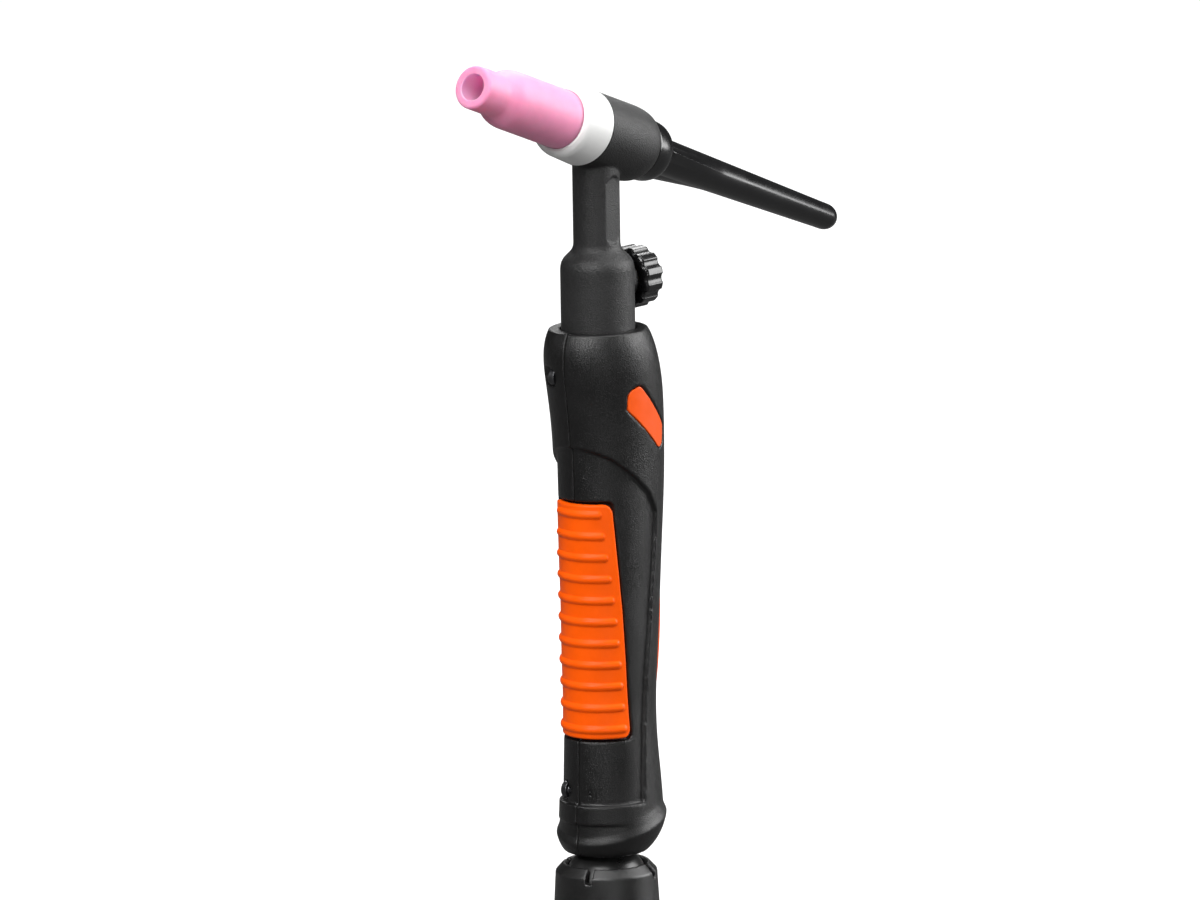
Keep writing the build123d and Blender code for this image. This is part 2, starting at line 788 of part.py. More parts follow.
# =============================== front end ===================================
seat_floor = tip_face - nozzle_length - loose_gap
with BuildPart() as heat_shield:
    with BuildSketch(head_profile):
        with BuildLine():
            Polyline(
                (head_front + close_gap, collet_thread_radius + close_gap),
                (head_front + close_gap, head_radius),
                (shield_front - 2.4, shield_front_radius + 0.1),
                (shield_front - 0.9, shield_front_radius - 0.5),
                (shield_front, shield_lip_radius),
                (shield_front, nozzle_radius + loose_gap),
                (seat_floor, nozzle_radius + loose_gap),
                (seat_floor, collet_thread_radius + close_gap),
                close=True,
            )
        make_face()
    revolve(axis=head_axis)
heat_shield.part.label = "heat_shield"

nozzle_back = tip_face - nozzle_length
shoulder_end = tip_face - nozzle_tip_length
shoulder_start = shoulder_end - nozzle_shoulder
tip_arc_inset = 0.29 * nozzle_tip_round
throat_end = tip_face - nozzle_throat_length
chamber_front = collet_front - nozzle_chamber_end
chamber_radius = collet_thread_radius + loose_gap
with BuildPart() as gas_nozzle:
    with BuildSketch(head_profile):
        with BuildLine():
            Line((nozzle_back, chamber_radius), (nozzle_back, nozzle_radius))
            Line((nozzle_back, nozzle_radius), (shoulder_start, nozzle_radius))
            Spline(
                (shoulder_start, nozzle_radius),
                (shoulder_end, nozzle_tip_radius),
                tangents=((1, 0), (0.25, -1)),
                tangent_scalars=(1.3, 0.4),
            )
            Line((shoulder_end, nozzle_tip_radius), (tip_face - nozzle_tip_round, nozzle_tip_radius))
            ThreePointArc(
                (tip_face - nozzle_tip_round, nozzle_tip_radius),
                (tip_face - tip_arc_inset, nozzle_tip_radius - tip_arc_inset),
                (tip_face, nozzle_tip_radius - nozzle_tip_round),
            )
            Line((tip_face, nozzle_tip_radius - nozzle_tip_round), (tip_face, nozzle_bore_radius + 0.3))
            Line((tip_face, nozzle_bore_radius + 0.3), (tip_face - 0.3, nozzle_bore_radius))
            Line((tip_face - 0.3, nozzle_bore_radius), (throat_end, nozzle_bore_radius))
            Line((throat_end, nozzle_bore_radius), (chamber_front, chamber_radius))
            Line((chamber_front, chamber_radius), (nozzle_back, chamber_radius))
        make_face()
    revolve(axis=head_axis)
gas_nozzle.part.label = "gas_nozzle"

collet_body_bore = electrode_radius + 1.0
with BuildPart() as collet_body:
    with BuildSketch(head_profile):
        with BuildLine():
            Polyline(
                (collet_back, collet_body_bore),
                (collet_back, collet_tail_radius),
                (head_front, collet_tail_radius),
                (head_front, collet_thread_radius),
                (collet_front - 12.0, collet_thread_radius),
                (collet_front - 9.0, collet_nose_radius),
                (collet_front - 2.0, collet_nose_radius),
                (collet_front, electrode_radius + 0.9),
                (collet_front, electrode_radius + 0.3),
                (collet_front - 2.2, electrode_radius + 0.3),
                (collet_front - 3.4, collet_body_bore),
                close=True,
            )
        make_face()
    revolve(axis=head_axis)
    for turn in range(gas_hole_count):
        angle = math.radians(45 + 360 / gas_hole_count * turn)
        across = Vector(math.cos(angle), math.sin(angle) * math.sin(tilt), math.sin(angle) * math.cos(tilt))
        hole_centre = head_centre + head_direction * (collet_front - gas_hole_station)
        with BuildSketch(Plane(origin=hole_centre, z_dir=across)):
            Circle(gas_hole_radius)
        extrude(amount=8, mode=Mode.SUBTRACT)
collet_body.part.label = "collet_body"

collet_tail = -1.5
with BuildPart() as collet:
    with BuildSketch(head_profile):
        with BuildLine():
            Polyline(
                (collet_tail, electrode_radius + running_gap),
                (collet_tail, collet_body_bore - close_gap),
                (collet_front - 4.0, collet_body_bore - close_gap),
                (collet_front - 2.6, electrode_radius + 0.45),
                (collet_front - 2.6, electrode_radius + running_gap),
                close=True,
            )
        make_face()
    revolve(axis=head_axis)
    with BuildSketch(head_plane(collet_front)):
        Rectangle(collet_slot_width, 2 * collet_body_bore + 1)
    extrude(amount=-collet_slot_length, mode=Mode.SUBTRACT)
collet.part.label = "collet"

electrode_tip = tip_face - electrode_setback
with BuildPart() as tungsten_electrode:
    with BuildSketch(head_profile):
        with BuildLine():
            Polyline(
                (electrode_tip - electrode_length, 0),
                (electrode_tip - electrode_length, electrode_radius),
                (electrode_tip - electrode_point_length, electrode_radius),
                (electrode_tip, electrode_point_radius),
                (electrode_tip, 0),
                close=True,
            )
        make_face()
    revolve(axis=head_axis)
tungsten_electrode.part.label = "tungsten_electrode"

# =============================== back cap ====================================
cap_front = head_back - loose_gap
cap_collar_back = cap_front - cap_collar_length
cap_bore_end = cap_tip + 3.0
with BuildPart() as back_cap:
    with BuildSketch(head_profile):
        with BuildLine():
            Line((cap_front, cap_insert_radius + close_gap), (cap_front, cap_collar_radius - 0.5))
            Line((cap_front, cap_collar_radius - 0.5), (cap_front - 0.5, cap_collar_radius))
            Spline(
                (cap_front - 0.5, cap_collar_radius),
                (cap_collar_back + 0.3, cap_collar_back_radius),
                tangents=((-1, 0), (-0.9, -0.5)),
            )
            Line(
                (cap_collar_back + 0.3, cap_collar_back_radius),
                (cap_collar_back, cap_collar_back_radius - 0.5),
            )
            Line((cap_collar_back, cap_collar_back_radius - 0.5), (cap_collar_back - 1.0, cap_grip_radius))
            Line((cap_collar_back - 1.0, cap_grip_radius), (cap_tip + cap_end_radius, cap_end_radius))
            ThreePointArc(
                (cap_tip + cap_end_radius, cap_end_radius),
                (cap_tip + 0.29 * cap_end_radius, 0.74 * cap_end_radius),
                (cap_tip, cap_flat_radius),
            )
            Line((cap_tip, cap_flat_radius), (cap_tip, 0))
            Line((cap_tip, 0), (cap_bore_end, 0))
            Line((cap_bore_end, 0), (cap_bore_end, cap_bore_radius))
            Line((cap_bore_end, cap_bore_radius), (cap_collar_back, cap_bore_radius))
            Line((cap_collar_back, cap_bore_radius), (cap_collar_back, cap_insert_radius + close_gap))
            Line((cap_collar_back, cap_insert_radius + close_gap), (cap_front, cap_insert_radius + close_gap))
        make_face()
    revolve(axis=head_axis)
    for turn in range(cap_fin_count):
        angle = math.radians(cap_fin_turn + 360 / cap_fin_count * turn)
        outward = Vector(math.cos(angle), math.sin(angle) * math.sin(tilt), math.sin(angle) * math.cos(tilt))
        fin_plane = Plane(origin=head_centre, x_dir=head_direction, z_dir=head_direction.cross(outward))
        with BuildSketch(fin_plane):
            with BuildLine():
                Polyline(
                    (cap_collar_back + 1.5, cap_insert_radius + 0.6),
                    (cap_collar_back + 1.5, cap_fin_radius),
                    (cap_collar_back - 2.2, cap_fin_radius),
                    (cap_fin_end, cap_grip_radius - 0.9),
                    (cap_fin_end, cap_fin_root),
                    (cap_collar_back - 1.5, cap_fin_root),
                    (cap_collar_back - 1.5, cap_insert_radius + 0.6),
                    close=True,
                )
            make_face()
        extrude(amount=cap_fin_width / 2, both=True)
back_cap.part.label = "back_cap"

with BuildPart() as cap_insert:
    with BuildSketch(head_profile):
        with BuildLine():
            Polyline(
                (cap_insert_front, electrode_radius + 1.2),
                (cap_insert_front, cap_insert_radius - 0.6),
                (cap_insert_front - 0.6, cap_insert_radius),
                (cap_oring_station + cap_oring_section + 0.1, cap_insert_radius),
                (cap_oring_station + cap_oring_section + 0.1, cap_groove_radius),
                (cap_oring_station - cap_oring_section - 0.1, cap_groove_radius),
                (cap_oring_station - cap_oring_section - 0.1, cap_insert_radius),
                (cap_collar_back + 0.3, cap_insert_radius),
                (cap_collar_back + 0.3, electrode_radius + 1.2),
                close=True,
            )
        make_face()
    revolve(axis=head_axis)
cap_insert.part.label = "cap_insert"

with BuildPart() as cap_oring:
    with BuildSketch(head_profile):
        with Locations((cap_oring_station, cap_groove_radius + cap_oring_section + close_gap)):
            Circle(cap_oring_section)
    revolve(axis=head_axis)
cap_oring.part.label = "cap_oring"

pieces = [
    cable_cup.part, pivot_ball.part, handle_shell_left, handle_shell_right, handle_screws.part,
    front_grip_pad.part, rear_grip_pad.part, label_right, label_left,
    head_insulator.part, head_core.part, neck_tube.part, valve_body.part, valve_gland.part,
    valve_stem.part, stem_oring.part, knob_insert.part, valve_knob.part, power_stud.part,
    heat_shield.part, gas_nozzle.part, collet_body.part, collet.part, tungsten_electrode.part,
    back_cap.part, cap_insert.part, cap_oring.part,
]

os.makedirs("parts", exist_ok=True)
for piece in pieces:
    export_step(piece, "parts/" + piece.label + ".step")
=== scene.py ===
import json
import math

import bmesh
import bpy
from mathutils import Matrix, Vector


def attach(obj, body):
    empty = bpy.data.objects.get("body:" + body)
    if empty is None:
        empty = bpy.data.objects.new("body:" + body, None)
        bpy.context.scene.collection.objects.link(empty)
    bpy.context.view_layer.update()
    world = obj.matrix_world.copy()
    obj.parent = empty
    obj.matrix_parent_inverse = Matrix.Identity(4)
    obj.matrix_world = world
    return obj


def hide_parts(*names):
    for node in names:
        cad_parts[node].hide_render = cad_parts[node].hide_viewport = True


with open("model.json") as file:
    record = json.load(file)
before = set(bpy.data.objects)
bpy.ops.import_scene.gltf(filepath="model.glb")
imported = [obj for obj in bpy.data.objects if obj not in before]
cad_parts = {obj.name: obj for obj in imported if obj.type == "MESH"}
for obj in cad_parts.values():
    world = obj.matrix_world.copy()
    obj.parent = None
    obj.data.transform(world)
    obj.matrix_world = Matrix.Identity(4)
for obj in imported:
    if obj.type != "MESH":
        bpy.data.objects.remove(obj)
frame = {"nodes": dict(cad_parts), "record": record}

bl_info = {
    "name": "Gas-valve welding torch",
    "version": (1, 0, 0),
    "blender": (4, 5, 0),
    "location": "View3D > Sidebar > Torch",
    "description": "Builds the pieces, finishes and studio of an air-cooled TIG welding torch",
    "category": "Object",
}

MM = 0.001
HEAD_HEIGHT = 253.8
HEAD_TILT = math.radians(20.0)
HEAD_CENTRE = Vector((0.0, 0.0, HEAD_HEIGHT * MM))
HEAD_FORWARD = Vector((0.0, -math.cos(HEAD_TILT), math.sin(HEAD_TILT)))
ACROSS = Vector((1.0, 0.0, 0.0))
VALVE_HEIGHT = 208.0
RECORD = frame["record"]

# Lengths from here to the knob's flutes are in millimetres. Heights are above the mouth of the cable bore.
# Stations lie along the head's axis, from its centre and positive towards the nozzle.

# outer form of the handle: height, half width, half depth, offset of the centre to the back
HANDLE_FORM = (
    (60.0, 14.2, 16.6, 2.5),
    (72.0, 13.7, 15.9, 2.1),
    (84.0, 13.6, 15.8, 2.2),
    (97.0, 14.0, 16.3, 2.6),
    (112.0, 14.3, 16.9, 3.2),
    (128.5, 14.7, 17.7, 3.6),
    (150.0, 15.2, 18.6, 4.2),
    (165.0, 15.7, 18.7, 3.9),
)
# edge of the front pad and ends of its ribs: height, distance behind the torch axis
PAD_EDGE = ((72.0, -2.5), (111.0, -4.9), (128.5, -6.6), (143.5, -7.9))
RIB_ENDS = ((73.0, -3.8), (111.0, -6.8), (128.5, -9.0), (142.5, -10.4))
PAD_TOP = 143.5
PAD_BOTTOM = 72.0
PAD_INSET = 0.8  # the pad's skin lies this far inside the handle's outer form
PAD_BACK_INSET = 2.42
PAD_EDGE_ROUND = 0.7
PAD_CORNER = 3.0
PAD_ROWS = 286
PAD_COLUMNS = 120
RIB_TOP = 140.4
RIB_PITCH = 6.55
RIB_COUNT = 11

# back cap: station and radius
CAP_RIM = ((-20.36, 5.06), (-20.36, 8.75), (-20.45, 9.05), (-20.7, 9.25), (-21.1, 9.38))
CAP_COLLAR_LENGTH = 7.5
CAP_COLLAR_DROP = 1.15
CAP_COLLAR_STEPS = 16
CAP_STEP_DOWN = (
    (-28.85, 8.05),
    (-29.0, 7.75),
    (-29.12, 7.2),
    (-29.2, 6.6),
    (-29.3, 6.0),
    (-29.6, 5.78),
    (-30.1, 5.7),
)
CAP_TAPER = 1.7  # loss of radius over the length of the taper
CAP_TAPER_LENGTH = 90.4
CAP_BODY_PITCH = 1.5
CAP_BODY_RINGS = 57
CAP_TIP_START = -119.6
CAP_TIP_LENGTH = 4.88
CAP_TIP_RADIUS = 4.02
CAP_TIP_STEPS = 14
CAP_INSIDE = ((-124.45, 0.0), (-121.5, 0.0), (-121.5, 2.2), (-29.0, 2.2), (-29.0, 5.06))
FIN_COUNT = 3
FIN_TURN = -8  # degrees from the width axis
FIN_FRONT = -29.2
FIN_CREST = -31.4
FIN_END = -59.0
CAP_CORE_RADIUS = 3.5  # nothing nearer the axis takes part in the fins

# knob: flutes start at the foot radius and are full a little further out
FLUTE_FOOT = 7.6
FLUTE_RAMP = 1.2
FLUTE_HALF_WIDTH = 1.42

DUST_COLOUR = (0.42, 0.40, 0.38)
LIGHT_AIM = (0.0, 0.0, 0.17)  # metres
LIGHT_ORBIT_HEIGHT = 0.16  # metres, the height that the lights' elevations are measured from
# soft lights: name, azimuth and elevation in degrees, distance, width and height in metres, watts
SOFT_LIGHTS = (
    ("front_softbox", 14, 58, 2.2, 1.2, 1.2, 34),
    ("shoulder_softbox", 8, 30, 2.2, 0.35, 0.35, 26),
    ("fill_softbox", 52, 6, 2.6, 0.7, 0.5, 10),
    ("right_softbox", 138, 20, 2.0, 1.1, 1.5, 48),
    ("top_softbox", 165, 68, 2.1, 1.5, 1.0, 22),
    ("back_strip", 215, 34, 2.3, 1.6, 0.5, 22),
    ("left_strip", -62, 20, 2.4, 0.18, 1.2, 3.0),
)


# ---- settings that a user may change ------------------------------------------
class TorchShape(bpy.types.PropertyGroup):
    """Sizes of the turned and moulded pieces"""

    round_steps: bpy.props.IntProperty(
        name="Steps round", description="Divisions round each turned piece", default=128, min=32, max=512)
    nozzle_bore: bpy.props.FloatProperty(
        name="Nozzle bore radius", description="Radius of the gas nozzle's bore", default=0.004, unit="LENGTH")
    nozzle_tip: bpy.props.FloatProperty(
        name="Nozzle tip radius", description="Radius of the slim front of the nozzle", default=0.00655,
        unit="LENGTH")
    nozzle_body: bpy.props.FloatProperty(
        name="Nozzle body radius", description="Radius of the wide rear of the nozzle", default=0.0089,
        unit="LENGTH")
    fin_rise: bpy.props.FloatProperty(
        name="Cap fin rise", description="How far the back cap's fins stand out", default=0.0021, unit="LENGTH")
    fin_spread: bpy.props.FloatProperty(
        name="Cap fin spread", description="Half the angle that each fin takes", default=math.radians(27),
        subtype="ANGLE")
    flute_count: bpy.props.IntProperty(
        name="Knob flutes", description="Number of flutes round the valve knob", default=12, min=6, max=40)
    flute_depth: bpy.props.FloatProperty(
        name="Flute depth", description="Depth of each flute", default=0.00070, unit="LENGTH")
    rib_rise: bpy.props.FloatProperty(
        name="Rib rise", description="Height of the front pad's ribs", default=0.00068, unit="LENGTH")
    rib_width: bpy.props.FloatProperty(
        name="Rib width", description="Width of the front pad's ribs", default=0.0024, unit="LENGTH")
    shell_cell: bpy.props.FloatProperty(
        name="Handle cell", description="Cell that the handle shells are moulded with", default=0.00040,
        unit="LENGTH")
    small_cell: bpy.props.FloatProperty(
        name="Small cell", description="Cell that pads and small mouldings are moulded with", default=0.00028,
        unit="LENGTH")


class TorchColours(bpy.types.PropertyGroup):
    """Colours of the finishes"""

    alumina: bpy.props.FloatVectorProperty(
        name="Nozzle ceramic", description="Fired alumina", subtype="COLOR", size=3, min=0, max=1,
        default=(0.90, 0.31, 0.50))
    ptfe: bpy.props.FloatVectorProperty(
        name="Heat shield", description="White fluoropolymer", subtype="COLOR", size=3, min=0, max=1,
        default=(0.80, 0.80, 0.79))
    rubber: bpy.props.FloatVectorProperty(
        name="Head rubber", description="Black silicone rubber", subtype="COLOR", size=3, min=0, max=1,
        default=(0.0085, 0.0085, 0.0087))
    shell: bpy.props.FloatVectorProperty(
        name="Handle plastic", description="Black textured nylon", subtype="COLOR", size=3, min=0, max=1,
        default=(0.0032, 0.0031, 0.0032))
    grip: bpy.props.FloatVectorProperty(
        name="Grip pads", description="Orange soft elastomer", subtype="COLOR", size=3, min=0, max=1,
        default=(0.98, 0.103, 0.0002))
    gloss: bpy.props.FloatVectorProperty(
        name="Cap and knob", description="Glossy black moulding", subtype="COLOR", size=3, min=0, max=1,
        default=(0.004, 0.004, 0.0045))


class TorchStudio(bpy.types.PropertyGroup):
    """Camera, lights and floor"""

    azimuth: bpy.props.FloatProperty(
        name="Azimuth", description="How far round the camera stands", default=math.radians(37.9),
        subtype="ANGLE")
    elevation: bpy.props.FloatProperty(
        name="Elevation", description="How far above the horizon the camera stands",
        default=math.radians(10.5), subtype="ANGLE")
    roll: bpy.props.FloatProperty(
        name="Roll", description="Turn of the camera about its own line of sight", default=math.radians(-0.88),
        subtype="ANGLE")
    distance: bpy.props.FloatProperty(
        name="Distance", description="From the camera to the torch", default=3.5, unit="LENGTH")
    lens: bpy.props.FloatProperty(
        name="Lens", description="Focal length", default=351.8, unit="CAMERA")
    target_height: bpy.props.FloatProperty(
        name="Target height", description="Height that the camera looks at", default=0.1578, unit="LENGTH")
    floor_size: bpy.props.FloatProperty(
        name="Floor size", description="Side of the floor", default=9.0, unit="LENGTH")
    sky: bpy.props.FloatProperty(
        name="Room light", description="Strength of the even light of the room", default=0.05, min=0)


# ---- meshes ---------------------------------------------------------------------
def link(name, mesh):
    """New object for a mesh, in the scene."""
    piece = bpy.data.objects.new(name, mesh)
    bpy.context.scene.collection.objects.link(piece)
    return piece


def eased(corners, steps=5):
    """Closed outline of (station, radius, corner radius) in mm with its corners rounded, as (station, radius)."""
    count = len(corners)
    outline = []
    for number, (station, radius, ease) in enumerate(corners):
        here = Vector((station, radius))
        if ease <= 0:
            outline.append(here)
            continue
        before = Vector(corners[number - 1][:2]) - here
        after = Vector(corners[(number + 1) % count][:2]) - here
        start = here + before.normalized() * min(ease, before.length * 0.49)
        end = here + after.normalized() * min(ease, after.length * 0.49)
        for step in range(steps + 1):
            t = step / steps
            outline.append(start * (1 - t) ** 2 + here * 2 * t * (1 - t) + end * t ** 2)
    return [(point.x, point.y) for point in outline]


def turned_mesh(name, outline, origin, along, across, steps, radius_at=None):
    """Mesh of an outline of (station, radius) in mm, turned round an axis.

    radius_at may change a radius by its angle.
    """
    up = along.cross(across).normalized() * -1
    mesh = bmesh.new()
    rings = []
    for station, radius in outline:
        ring = []
        for step in range(steps):
            angle = 2 * math.pi * step / steps
            reach = radius_at(station, radius, angle) if radius_at else radius
            spot = origin + (along * station + (across * math.cos(angle) + up * math.sin(angle)) * reach) * MM
            ring.append(mesh.verts.new(spot))
        rings.append(ring)
    for number, ring in enumerate(rings):
        following = rings[(number + 1) % len(rings)]
        for step in range(steps):
            onward = (step + 1) % steps
            mesh.faces.new((ring[step], ring[onward], following[onward], following[step]))
    bmesh.ops.remove_doubles(mesh, verts=mesh.verts, dist=1e-7)
    bmesh.ops.recalc_face_normals(mesh, faces=mesh.faces)
    data = bpy.data.meshes.new(name)
    mesh.to_mesh(data)
    mesh.free()
    data.polygons.foreach_set("use_smooth", [True] * len(data.polygons))
    return data


def even_normals(piece):
    """Flat faces stay flat beside rounded corners."""
    weigh = piece.modifiers.new("even normals", "WEIGHTED_NORMAL")
    weigh.mode = "FACE_AREA_WITH_ANGLE"
    weigh.weight = 60
    weigh.keep_sharp = True


def moulded(name, node, cell, soften, keep=1.0):
    """Piece with the shape of a CAD node, its edges softened as a mould leaves them."""
    source = frame["nodes"][node]
    data = source.data.copy()
    data.name = name
    data.transform(source.matrix_world)
    data.materials.clear()
    piece = link(name, data)
    remesh = piece.modifiers.new("cells", "REMESH")
    remesh.mode = "VOXEL"
    remesh.voxel_size = cell
    smooth = piece.modifiers.new("soften", "SMOOTH")
    smooth.factor = 0.5
    smooth.iterations = soften
    if keep < 1.0:
        thin = piece.modifiers.new("thin", "DECIMATE")
        thin.ratio = keep
    graph = bpy.context.evaluated_depsgraph_get()
    done = bpy.data.meshes.new_from_object(piece.evaluated_get(graph), depsgraph=graph)
    piece.modifiers.clear()
    piece.data = done
    done.name = name
    done.polygons.foreach_set("use_smooth", [True] * len(done.polygons))
    return piece


def body_holding(node):
    """Name of the body that a CAD node belongs to."""
    for body, nodes in RECORD["behaviour"]["bodies"].items():
        if node in nodes:
            return body
    raise RuntimeError("no body holds " + node)


def settle(piece, node, finish):
    """The piece stands for a CAD node, moves with its body and takes a finish."""
    piece.data.materials.clear()
    piece.data.materials.append(finish)
    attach(piece, body_holding(node))
    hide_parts(node)


def coat_node(node, finish):
    """Gives a CAD node that stays in view its finish."""
    shape = frame["nodes"][node]
    for slot in shape.material_slots:
        slot.link = "OBJECT"
        slot.material = finish


# ---- shared effects ----------------------------------------------------------------
def new_group(name, inputs, outputs):
    """Empty shader group with number sockets, and its two end nodes."""
    group = bpy.data.node_groups.new(name, "ShaderNodeTree")
    for label, value in inputs:
        socket = group.interface.new_socket(name=label, in_out="INPUT", socket_type="NodeSocketFloat")
        socket.default_value = value
    for label in outputs:
        group.interface.new_socket(name=label, in_out="OUTPUT", socket_type="NodeSocketFloat")
    return group, group.nodes.new("NodeGroupInput"), group.nodes.new("NodeGroupOutput")


def math_node(tree, operation, *values):
    """Math node whose inputs are numbers or sockets."""
    node = tree.nodes.new("ShaderNodeMath")
    node.operation = operation
    for number, value in enumerate(values):
        if hasattr(value, "is_output"):
            tree.links.new(value, node.inputs[number])
        else:
            node.inputs[number].default_value = value
    return node.outputs[0]


def place_in_mm(tree):
    """Object position in millimetres."""
    coordinate = tree.nodes.new("ShaderNodeTexCoord")
    scale = tree.nodes.new("ShaderNodeVectorMath")
    scale.operation = "SCALE"
    scale.inputs["Scale"].default_value = 1000.0
    tree.links.new(coordinate.outputs["Object"], scale.inputs[0])
    return scale.outputs[0]


def noise(tree, vector, scale, detail=2.0, rough=0.5):
    """Noise texture over a position. The scale is a number or a socket."""
    node = tree.nodes.new("ShaderNodeTexNoise")
    tree.links.new(vector, node.inputs["Vector"])
    if hasattr(scale, "is_output"):
        tree.links.new(scale, node.inputs["Scale"])
    else:
        node.inputs["Scale"].default_value = scale
    node.inputs["Detail"].default_value = detail
    node.inputs["Roughness"].default_value = rough
    return node.outputs["Fac"]


def remap(tree, value, low, high, to_low=0.0, to_high=1.0):
    """Clamped map of a value from one span to another."""
    node = tree.nodes.new("ShaderNodeMapRange")
    tree.links.new(value, node.inputs["Value"])
    for label, number in (("From Min", low), ("From Max", high), ("To Min", to_low), ("To Max", to_high)):
        if hasattr(number, "is_output"):
            tree.links.new(number, node.inputs[label])
        else:
            node.inputs[label].default_value = number
    return node.outputs["Result"]


def build_grain():
    """Fine mould grain: pebbles, with slow patches for colour and gloss."""
    group, start, end = new_group("mould_grain", [("Pebble", 0.35), ("Patch", 9.0)], ["Height", "Patches"])
    place = place_in_mm(group)
    pebble = math_node(group, "DIVIDE", 1.0, start.outputs["Pebble"])
    patch = math_node(group, "DIVIDE", 1.0, start.outputs["Patch"])
    cells = group.nodes.new("ShaderNodeTexVoronoi")
    cells.feature = "SMOOTH_F1"
    group.links.new(place, cells.inputs["Vector"])
    group.links.new(pebble, cells.inputs["Scale"])
    fine = noise(group, place, math_node(group, "MULTIPLY", pebble, 1.7), 2.0, 0.6)
    height = math_node(group, "ADD", math_node(group, "MULTIPLY", cells.outputs["Distance"], 0.6), fine)
    group.links.new(height, end.inputs["Height"])
    slow = noise(group, place, patch, 4.0, 0.62)
    group.links.new(remap(group, slow, 0.32, 0.68), end.inputs["Patches"])
    return group


def build_wear():
    """Mask of the outer edges that hands and benches rub."""
    group, start, end = new_group("edge_rub", [("Start", 0.54), ("End", 0.64)], ["Rubbed"])
    geometry = group.nodes.new("ShaderNodeNewGeometry")
    edge = remap(group, geometry.outputs["Pointiness"], start.outputs["Start"], start.outputs["End"])
    ragged = remap(group, noise(group, place_in_mm(group), 0.8, 4.0, 0.7), 0.38, 0.66)
    group.links.new(math_node(group, "MULTIPLY", edge, ragged), end.inputs["Rubbed"])
    return group


def build_dust():
    """Mask of the fine dust that lies on faces turned up."""
    group, start, end = new_group("settled_dust", [("Speck", 0.6)], ["Dust"])
    geometry = group.nodes.new("ShaderNodeNewGeometry")
    parts = group.nodes.new("ShaderNodeSeparateXYZ")
    group.links.new(geometry.outputs["Normal"], parts.inputs[0])
    up = remap(group, parts.outputs["Z"], 0.25, 1.0)
    speck = noise(group, place_in_mm(group), math_node(group, "DIVIDE", 1.0, start.outputs["Speck"]), 4.0, 0.75)
    group.links.new(math_node(group, "MULTIPLY", up, remap(group, speck, 0.45, 0.75)), end.inputs["Dust"])
    return group


def build_smears():
    """Mask of the faint handling marks on gloss."""
    group, start, end = new_group("handling", [("Size", 6.0)], ["Smears"])
    place = place_in_mm(group)
    stretch = group.nodes.new("ShaderNodeVectorMath")
    stretch.operation = "MULTIPLY"
    stretch.inputs[1].default_value = (1.0, 0.45, 1.3)
    group.links.new(place, stretch.inputs[0])
    node = group.nodes.new("ShaderNodeTexNoise")
    node.inputs["Detail"].default_value = 5.0
    node.inputs["Distortion"].default_value = 0.8
    group.links.new(stretch.outputs[0], node.inputs["Vector"])
    group.links.new(math_node(group, "DIVIDE", 1.0, start.outputs["Size"]), node.inputs["Scale"])
    group.links.new(remap(group, node.outputs["Fac"], 0.45, 0.72), end.inputs["Smears"])
    return group


def build_turning():
    """Fine rings that a lathe or a ground finish leaves round the head's axis."""
    group, start, end = new_group("turning_rings", [("Pitch", 0.25), ("Waver", 0.3)], ["Rings"])
    place = place_in_mm(group)
    along = group.nodes.new("ShaderNodeVectorMath")
    along.operation = "DOT_PRODUCT"
    along.inputs[1].default_value = tuple(HEAD_FORWARD)
    group.links.new(place, along.inputs[0])
    drift = math_node(group, "MULTIPLY", noise(group, place, 0.15, 2.0), start.outputs["Waver"])
    turns = math_node(group, "DIVIDE", along.outputs["Value"], start.outputs["Pitch"])
    wave = math_node(group, "SINE", math_node(group, "MULTIPLY", math_node(group, "ADD", turns, drift), math.tau))
    group.links.new(wave, end.inputs["Rings"])
    return group


EFFECTS = {}


def effect(tree, kind, **values):
    """Places a shared effect in a material with its own values."""
    makers = {"grain": build_grain, "wear": build_wear, "dust": build_dust, "smears": build_smears,
              "turning": build_turning}
    if kind not in EFFECTS:
        EFFECTS[kind] = makers[kind]()
    node = tree.nodes.new("ShaderNodeGroup")
    node.node_tree = EFFECTS[kind]
    for label, value in values.items():
        node.inputs[label].default_value = value
    return node.outputs


# ---- finishes --------------------------------------------------------------------------
FINISHES = {}


def mix_colour(tree, share, first, second):
    """Colour mix whose inputs are colours or sockets."""
    node = tree.nodes.new("ShaderNodeMix")
    node.data_type = "RGBA"
    tree.links.new(share, node.inputs[0])
    for number, value in ((6, first), (7, second)):
        if hasattr(value, "is_output"):
            tree.links.new(value, node.inputs[number])
        else:
            node.inputs[number].default_value = (*value[:3], 1.0)
    return node.outputs[2]


def shade(colour, factor):
    """A colour made lighter or darker."""
    return tuple(min(1.0, part * factor) for part in colour)


